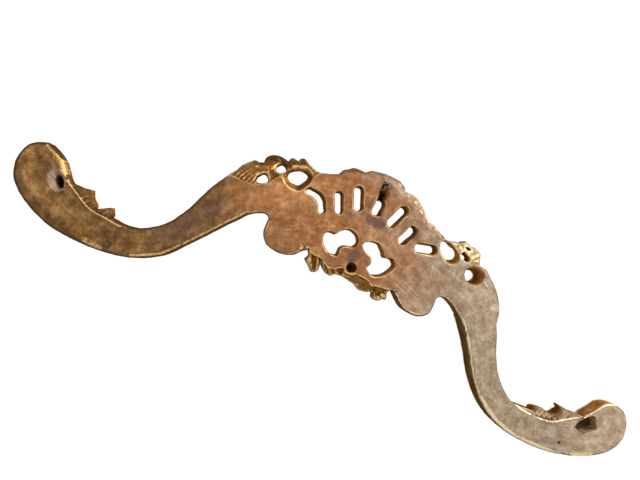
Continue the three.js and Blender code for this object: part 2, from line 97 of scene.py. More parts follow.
# Colours, from dark to light where there are more
COPPER = [(0.25, 0.097, 0.03), (0.35, 0.15, 0.056), (0.48, 0.25, 0.115)]
OLIVE = [(0.105, 0.046, 0.012), (0.19, 0.092, 0.027), (0.34, 0.195, 0.08)]
TAUPE = [(0.28, 0.19, 0.115), (0.41, 0.3, 0.198), (0.55, 0.435, 0.32)]
PAINT_STOPS = (0.38, 0.5, 0.62)
GOLD = [(0.22, 0.08, 0.012), (0.5, 0.22, 0.045), (0.95, 0.66, 0.3)]
PALE_GOLD = [(0.42, 0.26, 0.09), (0.72, 0.53, 0.25), (1.0, 0.87, 0.56)]
RAW_WOOD = [(0.2, 0.12, 0.06), (0.62, 0.47, 0.31)]
WOOD_STOPS = (0.35, 0.65)
DARK_WOOD = (0.055, 0.026, 0.007)
BRONZE = (0.46, 0.195, 0.048)
STAIN = (0.12, 0.07, 0.065)
# Painted shade in hollows and along edges, partly dirt
SHADE_AND_DIRT = (0.075, 0.032, 0.008)
# Painted shade deep in holes, pits, the gouge, the front's low ground and towards the front of walls
DEEP_SHADE_COLOUR = (0.016, 0.008, 0.003)
FLOOR_COLOUR = (0.85, 0.84, 0.82)

# Camera, lights and floor, in metres and watts
CAMERA_AT = (0.14798, 0.97321, -0.09417)
CAMERA_RIGHT = (-0.90355, 0.09152, 0.41858)
CAMERA_UP = (0.42025, -0.00121, 0.90740)
LENS = 33.75
SENSOR = 36.0
WORLD_GLOW = 0.45
BACKDROP = 1.05
LIGHT_TARGET = (0, 0, -0.05)
LIGHTS = [
    ("key", (-0.9, 1.0, 1.5), 0.9, 34), ("fill", (1.3, 1.2, 0.3), 1.4, 5),
    ("front_key", (-1.1, -1.3, 1.2), 0.9, 34), ("front_fill", (1.2, -1.2, 0.1), 1.4, 5),
]
FLOOR_CORNERS = [(-1.6, -0.55, -1.0), (1.6, -0.55, -1.0), (1.6, 2.2, -1.0), (-1.6, 2.2, -1.0)]

# Silhouette, as runs that meet at corners, from the pendant round by the +X side. A run starts where the
# one before it ends, so its first point is left out.
PENDANT = [
    [[-73, -88], [-74, -94], [-76, -99], [-74, -103], [-71, -101]],
    [[-67, -107], [-60, -110], [-54, -107], [-52, -97]],
    [[-41, -103], [-30, -106]],
    [[-20, -101], [-4, -98], [8, -97], [21, -99]],
    [[25, -104], [34, -103], [43, -96], [49, -86]],
    [[48, -97], [48, -105], [56, -111], [63, -106], [75, -96]],
    [[72, -88], [77, -80]],
]
PLUS_LOBE = [[85, -87], [97, -99], [120, -105], [141, -101], [154, -88], [157, -72], [157, -60]]
PLUS_ARM_ROOT = [[163, -56], [176, -60], [190, -69]]
PLUS_ARM_LOWER = [[221, -108], [253, -149], [288, -189], [334, -212], [390, -221], [450, -219], [470, -215]]
PLUS_HEAD = [
    [500, -203], [528, -186], [545, -167], [551, -145], [549, -126], [543, -113], [532, -104], [518, -98],
]
PLUS_THROAT = [[502, -105], [487, -115], [474, -130], [462, -141]]
PLUS_SPURS = [
    [[447, -141], [431, -138]],
    [[425, -150], [419, -156], [416, -164]],
    [[406, -160], [391, -151]],
    [[387, -160], [387, -166]],
]
PLUS_ARM_UPPER = [
    [360, -167], [339, -163], [319, -152], [302, -138], [289, -120], [278, -99], [269, -75], [258, -50],
    [245, -25],
]
PLUS_SHOULDER = [
    [[237, -12], [231, 1], [217, 18]],
    [[208, 17], [202, 19]],
    [[202, 28], [195, 36], [182, 40], [167, 38]],
    [[164, 46], [158, 47], [152, 46]],
    [[150, 52], [144, 54], [138, 51]],
]
SHELL_RIM = [
    [[128, 47], [114, 43], [101, 46], [83, 54]],
    [[79, 64], [71, 70], [65, 75], [55, 77], [44, 76]],
    [[34, 84], [18, 88], [-2, 90], [-20, 88], [-30, 82], [-32, 76]],
    [[-45, 78], [-60, 74], [-72, 65], [-85, 50]],
    [[-99, 46], [-109, 43], [-117, 36]],
]
MINUS_SHOULDER = [
    [[-127, 32], [-140, 35], [-152, 39], [-159, 45]],
    [[-167, 42], [-172, 40], [-177, 41], [-186, 38], [-191, 33], [-193, 25], [-196, 17]],
    [[-210, 15], [-220, 7], [-231, -2], [-242, -12], [-252, -26]],
]
MINUS_ARM_UPPER = [
    [-259, -41], [-263, -60], [-272, -79], [-287, -113], [-302, -137], [-322, -156], [-345, -169],
    [-372, -169], [-388, -168],
]
MINUS_SPURS = [
    [[-391, -162], [-397, -160], [-410, -159], [-422, -161]],
    [[-430, -157], [-433, -150], [-429, -141]],
    [[-440, -142], [-455, -143], [-470, -141]],
]
MINUS_THROAT = [[-478, -130], [-486, -119], [-493, -109], [-503, -102], [-516, -100]]
MINUS_HEAD = [
    [-530, -105], [-542, -117], [-549, -143], [-543, -165], [-529, -182], [-506, -198], [-475, -211],
]
MINUS_ARM_LOWER = [
    [-435, -220], [-392, -222], [-347, -217], [-307, -200], [-270, -167], [-231, -112], [-204, -79],
]
MINUS_ARM_ROOT = [[-180, -63], [-163, -58], [-155, -60], [-151, -65]]
MINUS_LOBE = [[-152, -78], [-150, -92], [-140, -102], [-126, -106], [-108, -104], [-92, -95], [-77, -82]]

# Facet length, width and depth of the rounded back arris, gold left on it, tone of the wall from dark wood
# to bronze, and strength of the dark line along the very edge, painted shade on the rounded arris
EDGES = {
    "pendant": (LEAF_FACET, 2.0, 2.2, 0.5, 0.5, 0.6),
    "lobe": (1.9, 4.0, 3.2, 0.7, 0.2, 0.9),
    "root": (1.9, 4.0, 2.6, 0.6, 0.15, 0.5),
    "plus_arm": (ARM_FACET, 3.6, 2.6, 0.2, 0.2, 1.0),
    "minus_arm": (ARM_FACET, 4.8, 2.8, 0.95, 0.06, 0.4),
    "plus_head": (ARM_FACET, 3.0, 2.0, 0.1, 0.1, 1.3),
    "minus_head": (ARM_FACET, 2.4, 1.6, 0.3, 0.2, 0.1),
    "plus_throat": (1.9, 3.0, 2.0, 0.5, 0.15, 0.0),
    "minus_throat": (1.9, 2.4, 1.6, 0.8, 0.6, 0.0),
    "spur": (LEAF_FACET, 1.8, 2.0, 0.1, 0.3, 0.7),
    "plus_upper": (ARM_FACET, 2.4, 1.6, 0.12, 0.1, 1.0),
    "minus_upper": (ARM_FACET, 2.4, 1.6, 0.25, 0.1, 0.2),
    "shoulder": (LEAF_FACET, 2.0, 2.2, 0.25, 0.35, 0.7),
    "rim": (1.7, 2.6, 3.0, 0.15, 0.3, 0.3),
    "piercing": (ROUND_FACET, 3.0, 3.0, 0.5, 0.5, 0.0),
}
OUTLINE = [
    *[("pendant", run) for run in PENDANT],
    ("lobe", PLUS_LOBE), ("root", PLUS_ARM_ROOT), ("plus_arm", PLUS_ARM_LOWER), ("plus_head", PLUS_HEAD),
    ("plus_throat", PLUS_THROAT), *[("spur", run) for run in PLUS_SPURS], ("plus_upper", PLUS_ARM_UPPER),
    *[("shoulder", run) for run in PLUS_SHOULDER], *[("rim", run) for run in SHELL_RIM],
    *[("shoulder", run) for run in MINUS_SHOULDER], ("minus_upper", MINUS_ARM_UPPER),
    *[("spur", run) for run in MINUS_SPURS], ("minus_throat", MINUS_THROAT), ("minus_head", MINUS_HEAD),
    ("minus_arm", MINUS_ARM_LOWER), ("root", MINUS_ARM_ROOT), ("lobe", MINUS_LOBE),
]

# Piercings: slots by their two tips, width and bow, and wings by their outline
SLOTS = [
    ([119, 10], [80, -14], 11, 8),
    ([71, 27], [56, -5], 11, 0),
    ([44, 49], [29, 13], 13, 0),
    ([0, 45], [1, 19], 13, 0),
    ([-42, 50], [-28, 12], 13, 0),
    ([-70, 27], [-57, -6], 13, 0),
    ([-118, 8], [-83, -2], 13, 0),
]
WINGS = [
    [[31, -68], [42, -69], [51, -65], [60, -56], [62, -44], [56, -39], [45, -38], [39, -29], [28, -22],
     [15, -25], [8, -35], [12, -44], [25, -48], [31, -56], [31, -68]],
    [[-24, -67], [-28, -57], [-24, -48], [-11, -43], [-3, -35], [-9, -27], [-24, -23], [-33, -28],
     [-44, -39], [-57, -37], [-63, -43], [-59, -56], [-49, -68], [-36, -73], [-24, -67]],
]
# Eyelets in the shoulder leaves: outline at the back, the point that it draws in towards and how far,
# width, depth and gold of its rounded arris. They all have walls of one tone.
EYELET_TONE = 0.7
EYELETS = [
    ([[203, -14], [203, -7], [199, -1], [192, 4], [187, 2], [183, -6], [188, -12], [196, -15]],
     [192, -4], 0.1, 3.0, 3.5, 0.6),
    ([[180, 17], [180, 24], [175, 29], [166, 28], [163, 22], [169, 15], [176, 14]],
     [172, 23], 0.05, 2.5, 3.0, 0.9),
    ([[163, 11], [163, 18], [156, 28], [145, 34], [132, 35], [121, 31], [121, 22], [126, 12],
      [132, 3], [142, 1], [153, 3]],
     [143, 30], 0.3, 4.0, 6.0, 0.9),
    ([[-177, -8], [-178, 2], [-187, 10], [-197, 12], [-207, 7], [-210, -3], [-206, -14],
      [-196, -18], [-185, -16]],
     [-195, -6], 0.4, 2.0, 1.6, 0.2),
    ([[-158, 19], [-162, 26], [-169, 25], [-177, 19], [-175, 13], [-168, 13], [-161, 15]],
     [-168, 19], 0.2, 2.0, 2.5, 0.6),
    ([[-119, 25], [-122, 14], [-130, 5], [-144, -1], [-155, 1], [-160, 10], [-157, 19],
      [-145, 27], [-135, 30], [-125, 30]],
     [-146, 28], 0.2, 2.6, 3.0, 0.5),
]

# Cuts on the back: edge, profile as distances out from it and depths, how bare the wood is, its tone,
# gold on the slope and on the upper edge
RIM_CUT = [(0, 0), (2.5, 1.5), (12, 12), (26, 24)]
SPUR_CUT = [(0, 0), (1.6, 5.0), (12, 11), (26, 20)]
LEAF_CUT = [(0, 0), (2.2, 3.5), (14, 6), (30, 11), (60, 22)]
STAR_CUT = [(0, 0), (2.0, 1.6), (14, 4), (30, 9), (60, 18)]
PENDANT_CUT = [(0, 0), (2.0, 4.0), (10, 7), (30, 12)]
BACK_CUTS = [
    ([[88, 48], [55, 64], [25, 74], [-5, 76], [-27, 68]], RIM_CUT, 0.25, 0.5, 0.1, 0.2),
    ([[-27, 68], [-55, 58], [-78, 42], [-112, 32]], RIM_CUT, 0.3, 0.9, 0.4, 0.3),
    ([[468, -140], [454, -148], [440, -156], [428, -162], [416, -167], [393, -169], [365, -171],
      [338, -162]], SPUR_CUT, 0.45, 0.5, 0.25, 0.9),
    ([[-335, -164], [-358, -172], [-385, -175], [-420, -171], [-440, -159], [-470, -140]],
     SPUR_CUT, 0.3, 0.8, 0.3, 0.9),
    ([[252, -38], [241, -25], [223, -24], [206, -22], [188, -15], [178, -6], [174, 2], [166, 9], [158, 2],
      [150, -2], [141, -3], [131, -1], [123, 8], [118, 20], [116, 34], [108, 43]],
     LEAF_CUT, 1.0, 0.45, 0.45, 0.6),
    ([[-110, 44], [-117, 34], [-124, 22], [-140, 10], [-156, 4], [-161, 12], [-176, 12], [-190, 16],
      [-200, 18]], STAR_CUT, 1.0, 1.0, 0.95, 0.4),
    ([[-196, 14], [-210, 10], [-222, 2], [-233, -7], [-243, -18], [-254, -32]],
     [(0, 0), (3, 1.5), (12, 7), (30, 16)], 0.1, 0.8, 0.3, 0.3),
    ([[-80, -82], [-66, -84], [-50, -87], [-42, -89], [-32, -84], [-5, -84], [4, -87], [12, -82], [20, -86],
      [28, -91], [38, -91], [48, -85], [57, -82], [64, -83], [80, -78]],
     PENDANT_CUT, 1.0, 0.4, 0.42, 0.9),
]

# Raised strokes carved on those slopes: path, half width and rise
STROKES = [
    *[([[243 - 6.6 * k, -29], [235 - 6.2 * k, -10], [222 - 5.4 * k, 9]], 2.9, 3.2) for k in range(7)],
    ([[209, 8], [199, 11], [189, 15], [182, 21]], 4.5, 4.0),
    ([[203, 20], [199, 31], [186, 37], [172, 36], [163, 30], [160, 20], [166, 11]], 6.0, 5.0),
    ([[160, 36], [158, 42]], 4.5, 5.0),
    ([[148, 44], [145, 49]], 5.0, 5.0),
    ([[160, 27], [150, 38], [136, 40], [124, 34], [118, 22], [120, 10]], 4.0, 4.0),
    ([[163, 12], [157, 3], [147, -2], [136, -1]], 2.6, 2.5),
    *[([[437 - 8 * k, -157 - 1.5 * k], [431 - 8 * k, -148 - 1.5 * k], [424 - 8 * k, -137 - 1.5 * k]],
       2.6, 3.0) for k in range(7)],
    *[([[-370 - 9 * k, -176 + 1.8 * k], [-378 - 9 * k, -166 + 1.8 * k], [-386 - 9 * k, -156 + 1.8 * k]],
       2.9, 3.0) for k in range(10)],
    ([[-138, 30], [-149, 37], [-158, 43]], 4.5, 3.5),
    ([[-158, 24], [-167, 36], [-177, 40]], 3.6, 3.2),
    ([[-177, 20], [-184, 29], [-189, 34]], 3.6, 3.2),
    ([[-181, 14], [-188, 20], [-194, 22]], 3.4, 2.8),
    ([[-158, 16], [-160, 24], [-152, 31]], 3.0, 3.0),
    ([[-183, 12], [-200, 13], [-212, 5], [-216, -6]], 2.4, 1.2),
    ([[-222, 4], [-232, -6], [-240, -16]], 3.0, 1.6),
    ([[73, -83], [67, -96], [58, -109]], 4.2, 4.2),
    ([[58, -84], [53, -96], [51, -105]], 3.0, 3.0),
    ([[47, -87], [44, -95], [37, -101]], 3.6, 3.6),
    ([[36, -91], [31, -97], [25, -102]], 3.6, 3.6),
    ([[24, -89], [20, -94], [13, -98]], 3.2, 3.0),
    *[([[8, -88 - 5 * k], [-18, -88 - 5 * k], [-44, -91 - 4 * k]], 2.5, 2.6) for k in range(4)],
    ([[-50, -101], [-56, -107], [-62, -104]], 5.0, 5.0),
    ([[-66, -97], [-70, -101]], 4.0, 4.0),
    *[([[x, z], [1.08 * x, z + 9]], 5.0, 2.6)
      for x, z in ((76, 60), (58, 69), (34, 76), (12, 80), (-14, 80))],
    *[([[x, z], [1.08 * x, z + 9]], 5.0, 3.0)
      for x, z in ((-36, 69), (-52, 65), (-68, 56), (-84, 43), (-99, 36))],
]

# Pits cut into the back: rims as outlines, or as ovals by centre, size and tilt
HANGER_BEVEL = [
    [499, -143], [493, -133], [482, -130], [470, -141], [465, -154], [473, -163], [484, -162], [494, -153],
]
HANGER_OVAL = ([478.5, -147], [23, 13], 0.94)
HANGER_BEVEL_DEPTH = 6.0
HANGER_DEPTH = 24.0
POCKET = [
    [-461, -163], [-462, -155], [-466, -149], [-474, -140], [-483, -133], [-488, -133], [-498, -149],
    [-496, -154], [-479, -169], [-471, -168],
]
DRILL = ([0, -77], [18, 18], 0.0)
NAIL = ([-446, -198], [4.5, 4.5], 0.0)
ARCH = ([-167, 34], [11, 6], 0.0)
# Depth of a pit, how dark its painted shade is and how far in from its rim the painted shade starts
PITS = {
    "pocket": (17.0, 0.75, 0.5), "drill": (22.0, 0.85, 2.5),
    "nail": (9.0, 0.8, 0.5), "arch": (9.0, 0.8, 0.5),
}
PIT_FACET = 1.2
PIT_SLOPE = 0.6
DARK_FADE = 3.5
GOUGE = [[-3, 20], [3, 75]]
GOUGE_WIDTH = 18.0
GOUGE_DEPTH = 26.0

# Carving on the front
ARM_PROFILE = [
    (0.0, EDGE_DEPTH), (0.3, CREST_DEPTH), (0.75, CREST_DEPTH), (1.0, GROUND_DEPTH + 5),
    (1.5, GROUND_DEPTH + 2), (3.6, GROUND_DEPTH),
]
ARM_UPPER_GUIDE = [
    [252, -40], [266, -76], [276, -100], [300, -140], [338, -166], [388, -170], [436, -161], [466, -142],
]
BOSS_AT = [-2, -62]
SHELL_FOCUS = [0, -50]
SHELL_ANGLES = [166, 145, 124, 102, 79, 56, 35, 14]
SHELL_INNER = 34
SHELL_OUTER = 134
SHELL_LOW_OUTER = 106
VOLUTES = [
    ([507, -152], [
        [458, -206], [490, -198], [519, -186], [538, -164], [541, -141], [531, -119], [515, -111],
        [499, -120], [487, -137], [486, -156], [498, -169], [514, -169], [523, -157], [519, -144],
    ]),
    ([-506, -153], [
        [-458, -206], [-490, -196], [-517, -181], [-536, -162], [-541, -142], [-533, -119], [-515, -112],
        [-499, -120], [-488, -137], [-486, -156], [-497, -170], [-513, -170], [-522, -158], [-518, -145],
    ]),
    ([110, -63], [
        [140, -14], [150, -38], [150, -62], [148, -80], [139, -92], [121, -97], [103, -91], [91, -76],
        [90, -59], [101, -46], [117, -45], [127, -56], [126, -69], [115, -76],
    ]),
    ([-107, -64], [
        [-134, -14], [-144, -38], [-144, -62], [-144, -80], [-138, -94], [-124, -99], [-107, -96],
        [-92, -83], [-87, -65], [-95, -50], [-111, -45], [-123, -54], [-125, -68], [-115, -76],
    ]),
]
RIM_ROLL = [
    [126, 36], [102, 37], [84, 47], [74, 62], [57, 72], [42, 70], [22, 82], [-2, 85], [-24, 80], [-34, 70],
    [-52, 70], [-70, 60], [-84, 46], [-104, 40], [-122, 26],
]
LEAVES = [
    ([222, -74], [[245, -24], [231, 1], [216, 16], [196, 34], [177, 38], [160, 46], [145, 52]]),
    ([-222, -74], [[-249, -24], [-231, -1], [-212, 13], [-190, 32], [-176, 39], [-159, 44], [-140, 33]]),
    ([-2, -72], [[74, -97], [56, -110], [32, -104], [8, -96], [-12, -99], [-30, -106], [-60, -111],
      [-75, -103]]),
    ([368, -194], [[391, -152], [418, -157], [433, -139], [462, -158], [464, -182], [440, -206]]),
    ([-368, -194], [[-392, -161], [-420, -161], [-430, -143], [-464, -160], [-464, -182], [-440, -206]]),
]

# Marks on the back: stains and worn gold from age, painted highlights, painted shade with a few dark spots,
# and hatching; each has a path, half width and strength
MARKS = {
    "stain": [
        ([[2, -54], [8, -66]], 8, 0.8), ([[6, 9], [-14, 7]], 9, 0.9), ([[370, -207], [371, -204]], 7, 0.6),
        ([[14, 44], [15, 22]], 2, 0.7), ([[-14, -52], [-24, -66]], 8, 0.35),
        ([[300, -158], [262, -118]], 16, 0.5), ([[250, -96], [238, -70]], 14, 0.4),
        ([[545, -135], [530, -175]], 6, 0.2),
    ],
    "worn": [
        ([[406, -213], [378, -215]], 4.5, 1.0), ([[499, -114], [487, -120], [477, -130]], 5, 1.0),
        ([[-480, -206], [-506, -193]], 5, 1.0),
        ([[-288, -182], [-330, -206], [-370, -217], [-434, -217]], 2.6, 0.9),
        ([[94, -77], [86, -84]], 4, 0.8), ([[-70, -84], [-71, -96]], 3, 0.8),
        ([[330, -207], [288, -184], [253, -144], [221, -103], [192, -66]], 2.2, 0.8),
        ([[517, -103], [500, -113]], 2.0, 0.9), ([[-512, -106], [-528, -108], [-541, -118]], 1.6, 0.8),
    ],
    # Painted highlights: lighter bands on the paint
    "sheen": [
        ([[540, -128], [532, -150], [515, -166], [484, -180], [448, -187], [415, -192]], 13, 1.0),
        ([[536, -120], [524, -112]], 9, 0.8), ([[362, -205], [325, -183], [300, -162]], 9, 0.4),
        ([[225, -52], [175, -24], [120, 4]], 24, 0.75), ([[60, -30], [90, 25]], 20, 0.3),
        ([[-20, -22], [-60, -12]], 22, 0.3), ([[-246, -38], [-254, -34]], 8, 0.7),
        ([[-110, -90], [-140, -80]], 14, 0.2), ([[-500, -175], [-535, -140]], 26, 0.3),
    ],
    # Painted shade along the edges, beside a leaflet and in a small pit, darker knob backs, and a dark knot
    # in the wood
    "shade": [
        ([[374, -210], [366, -209], [365, -203], [372, -200]], 2.0, 0.9),
        ([[204, 20], [197, 33], [184, 38], [170, 36], [163, 32]], 7, 0.95),
        ([[158, 40], [158, 48]], 6, 0.9), ([[146, 46], [144, 54]], 6, 0.9),
        ([[134, 38], [120, 30], [124, 14], [134, 3]], 4, 0.6),
        ([[350, -217], [390, -221], [450, -219], [470, -214], *PLUS_HEAD[:4]], 4, 0.85),
        (PLUS_HEAD[3:], 2, 0.6), ([[179, 8], [166, 12], [163, 22]], 3, 0.5),
        ([[240, -22], [226, 2]], 2.4, 0.4), ([[66, -104], [54, -108]], 3, 0.6),
        ([[516, -97], [500, -103]], 6, 0.8), ([[387, -164], [339, -163], [302, -138], [269, -75]], 5, 0.3),
        ([[77, -88], [73, -99]], 3.5, 0.7), ([[-49, -94], [-51, -95]], 3, 1.0),
        ([[222, 12], [204, 14]], 4, 0.5), ([[-160, 22], [-172, 14]], 2, 0.5),
        ([[190, -15], [203, -16]], 2.5, 0.6), ([[232, -10], [222, 6]], 3, 0.3),
        ([[30, 84], [-20, 88], [-32, 76]], 3, 0.5), ([[80, 58], [66, 71], [46, 75]], 4, 0.55),
    ],
    "hatch": [([[262, -100], [225, -45], [190, -30]], 30, 1.0)],
}
SCRATCHES = [
    [[-75, -62], [-118, -78]], [[-80, -58], [-124, -74]], [[-72, -68], [-104, -80]],
    [[-122, -8], [-128, -52]], [[-16, 40], [-13, 22]], [[-96, -30], [-70, -44]], [[40, -30], [90, -22]],
    [[60, -58], [120, -40]], [[-207, -71], [-222, -55], [-241, -42]],
    [[-247, -78], [-251, -104], [-240, -122], [-241, -139]],
    [[-235, -21], [-246, -28], [-245, -42], [-241, -59], [-253, -68]], [[-196, 5], [-212, -3], [-229, -17]],
    [[-168, -28], [-170, -14], [-172, -2]], [[-358, -180], [-371, -181], [-380, -176]],
    [[-439, -178], [-445, -166], [-463, -171]], [[-299, -174], [-316, -179], [-334, -190]],
    [[-512, -117], [-506, -138], [-502, -162]], [[130, -70], [70, -35]], [[124, -60], [96, -42]],
    [[240, -120], [262, -131]], [[548, -150], [535, -176]], [[-225, -60], [-238, -90], [-260, -110]],
]

# Boxes of fine carving on both sides: low |x|, low z, high |x| and high z
BACK_SPOTS = [(0, -125, 160, 100), (155, -35, 262, 60), (370, -178, 505, -95)]
FRONT_SPOTS = [(0, -125, 165, 100), (165, -80, 262, 60), (360, -215, 560, -95)]

# Line that the brush followed on the back, from the -X head to the +X head
HALF_SPINE = [[150, -20], [222, -50], [262, -110], [310, -172], [370, -194], [450, -184], [520, -150]]
SPINE = [*[[-x, z] for x, z in HALF_SPINE[::-1]], [0, 10], *HALF_SPINE]

LATTICE = np.random.default_rng(7).uniform(-1, 1, (256, 256))


def noise(p, scale, shift=0.0):
    """Smooth noise from -1 to 1 over plan points, with features of about the given size."""
    q = np.asarray(p, float) / scale + 100.0 + shift
    cell = np.floor(q).astype(int)
    f = q - cell
    f = f * f * (3 - 2 * f)
    i, j = cell[:, 0] % 255, cell[:, 1] % 255
    low = LATTICE[i, j] * (1 - f[:, 0]) + LATTICE[i + 1, j] * f[:, 0]
    high = LATTICE[i, j + 1] * (1 - f[:, 0]) + LATTICE[i + 1, j + 1] * f[:, 0]
    return low * (1 - f[:, 1]) + high * f[:, 1]


def smoothstep(low, high, x):
    t = np.clip((x - low) / (high - low), 0, 1)
    return t * t * (3 - 2 * t)


def curve(points, step):
    """Evenly spaced points along the centripetal Catmull-Rom curve through plan points."""
    p = np.array(points, float)
    p = np.vstack([2 * p[0] - p[1], p, 2 * p[-1] - p[-2]])
    dense = []
    for a, b, c, d in zip(p, p[1:], p[2:], p[3:]):
        knots = np.cumsum([0.0] + [math.sqrt(np.linalg.norm(v)) for v in (b - a, c - b, d - c)])
        t = np.linspace(knots[1], knots[2], 16)[:, None]
        level = [a, b, c, d]
        for spans in (((0, 1), (1, 2), (2, 3)), ((0, 2), (1, 3)), ((1, 2),)):
            level = [
                (knots[j] - t) / (knots[j] - knots[i]) * low + (t - knots[i]) / (knots[j] - knots[i]) * high
                for (i, j), low, high in zip(spans, level, level[1:])
            ]
        dense.append(level[0][:-1])
    dense = np.vstack([*dense, p[-2]])
    lengths = np.concatenate([[0], np.cumsum(np.linalg.norm(np.diff(dense, axis=0), axis=1))])
    count = max(2, round(lengths[-1] / step))
    at = np.linspace(0, lengths[-1], count + 1)
    return np.c_[np.interp(at, lengths, dense[:, 0]), np.interp(at, lengths, dense[:, 1])]


def ellipse(at, size, tilt, step=ROUND_FACET):
    count = max(10, round(math.pi * (size[0] + size[1]) / 2 / step))
    angle = np.linspace(0, 2 * math.pi, count, endpoint=False)
    x, z = size[0] / 2 * np.cos(angle), size[1] / 2 * np.sin(angle)
    c, s = math.cos(tilt), math.sin(tilt)
    return np.c_[at[0] + c * x - s * z, at[1] + s * x + c * z]


def slot(a, b, width, bow):
    """Slot with round ends between two tips, bowed sideways midway."""
    a, b = np.array(a, float), np.array(b, float)
    forward = (b - a) / np.linalg.norm(b - a)
    across = np.array([forward[1], -forward[0]])
    radius = width / 2
    length = np.linalg.norm(b - a) - width
    turns = np.linspace(0, math.pi, ROUND_END_POINTS)
    half = [(1.0, radius * math.cos(t), radius * math.sin(t)) for t in turns]
    side = [(t, -radius, 0.0) for t in np.linspace(1, 0, round(length / ROUND_FACET))[1:-1]]
    loop = half + side + [(1 - t, -s, -f) for t, s, f in half + side]
    return np.array([a + forward * (radius + length * t + f) + across * (4 * bow * t * (1 - t) + s)
                     for t, s, f in loop])


def area(loop):
    x, z = loop[:, 0], loop[:, 1]
    return 0.5 * np.sum(x * np.roll(z, -1) - np.roll(x, -1) * z)


def outward(loop):
    """Unit normals of a loop that has the solid on its left."""
    along = np.roll(loop, -1, 0) - np.roll(loop, 1, 0)
    along /= np.linalg.norm(along, axis=1, keepdims=True)
    return np.c_[along[:, 1], -along[:, 0]]


def along_path(p, path):
    """Distance of plan points to a path, share of the way along it, side (+1 right, -1 left) and how far
    past its ends they are."""
    path = np.asarray(path, float)
    steps = np.linalg.norm(np.diff(path, axis=0), axis=1)
    starts = np.concatenate([[0], np.cumsum(steps)])
    best = np.full(len(p), 1e9)
    share, side, past = np.zeros(len(p)), np.ones(len(p)), np.zeros(len(p))
    for i, (a, b) in enumerate(zip(path, path[1:])):
        ab = (b - a) / steps[i]
        t = (p - a) @ ab
        inside = np.clip(t, 0, steps[i])
        d = np.hypot(*(p - a - inside[:, None] * ab).T)
        near = d < best
        best[near] = d[near]
        share[near] = (starts[i] + inside[near]) / starts[-1]
        cross = ab[0] * (p[:, 1] - a[1]) - ab[1] * (p[:, 0] - a[0])
        side[near] = np.where(cross[near] > 0, -1.0, 1.0)
        over = np.abs(t - inside) if i in (0, len(steps) - 1) else np.zeros(len(p))
        past[near] = over[near]
    return best, share, side, past


def inside_loop(p, loop):
    """Depth inside a closed loop, negative outside."""
    closed = np.vstack([loop, loop[:1]])
    d = along_path(p, closed)[0]
    odd = np.zeros(len(p), bool)
    for a, b in zip(closed, closed[1:]):
        crosses = (a[1] > p[:, 1]) != (b[1] > p[:, 1])
        with np.errstate(divide="ignore", invalid="ignore"):
            x = a[0] + (p[:, 1] - a[1]) * (b[0] - a[0]) / (b[1] - a[1])
        odd ^= crosses & (p[:, 0] < x)
    return np.where(odd, d, -d)


def mark(p, path, half_width):
    """1 along a path, fading out raggedly beyond the half width."""
    d = along_path(p, np.array(path, float))[0]
    ragged = d / half_width + 0.25 * noise(p, 5.0, 3.0) + 0.2 * noise(p, 1.9, 6.0)
    return 1 - smoothstep(0.5, 1.3, ragged)


def make_loops():
    """Boundary loops with the solid on their left: plan at the back and at the front, and each vertex's
    style of arris and wall."""
    outline, styles = [], []
    corner = MINUS_LOBE[-1]
    for name, run in OUTLINE:
        step, *style = EDGES[name]
        outline.append(curve([corner, *run], step)[:-1])
        styles.append(np.tile(style, (len(outline[-1]), 1)))
        corner = run[-1]
    loops = [(np.vstack(outline), np.vstack(styles), [0, 0], 0.0)]
    step, *style = EDGES["piercing"]
    holes = [(slot(*s), style, [0, 0], 0.0) for s in SLOTS]
    holes += [(curve(w, step)[:-1], style, [0, 0], 0.0) for w in WINGS]
    for rim, toward, share, width, depth, gold in EYELETS:
        rim = curve([*rim, rim[0]], step)[:-1]
        holes.append((rim, [width, depth, gold, EYELET_TONE, 0.0], toward, share))
    loops += [(hole, np.tile(style, (len(hole), 1)), toward, share) for hole, style, toward, share in holes]
    made = []
    for k, (loop, style, toward, share) in enumerate(loops):
        if (area(loop) > 0) != (k == 0):
            loop, style = loop[::-1], style[::-1]
        loop = loop + outward(loop) * (0.3 * noise(loop, 9.0, 5.0) + 0.2 * noise(loop, 3.5, 9.0))[:, None]
        front = loop + (np.array(toward, float) - loop) * share
        if k and not share:
            loop = loop - SLOT_FLARE * outward(loop)
        wear = 1 + 0.5 * noise(loop, 34.0, 11.0) + 0.3 * noise(loop, 11.0, 2.0)
        factors = np.c_[wear, np.sqrt(np.clip(wear, 0.2, 2)), np.ones((len(loop), 3))]
        made.append((loop, front, style * factors))
    return made


def pit_loops():
    """Rims of the blind pits cut into the back."""
    return {
        "bevel": np.array(HANGER_BEVEL, float),
        "oval": ellipse(*HANGER_OVAL),
        "pocket": np.array(POCKET, float),
        "drill": ellipse(*DRILL),
        "nail": ellipse(*NAIL, PIT_FACET),
        "arch": ellipse(*ARCH, PIT_FACET),
    }


def shrunk(loop, by):
    """Loop moved inwards by a small distance."""
    turned = loop if area(loop) > 0 else loop[::-1]
    return turned - outward(turned) * by


def densified(loop):
    """Loop with points added along its long sides."""
    dense = []
    for a, b in zip(loop, np.roll(loop, -1, 0)):
        count = max(1, round(np.linalg.norm(b - a) / LEAF_FACET))
        dense.append(a + (b - a) * np.linspace(0, 1, count + 1)[:-1, None])
    return np.vstack(dense)


def tree_of(points):
    tree = kdtree.KDTree(len(points))
    for i, (x, z) in enumerate(points.tolist()):
        tree.insert((x, z, 0.0), i)
    tree.balance()
    return tree


def nearest(tree, p):
    found = [tree.find((x, z, 0.0)) for x, z in p.tolist()]
    return np.array([f[1] for f in found]), np.array([f[2] for f in found])


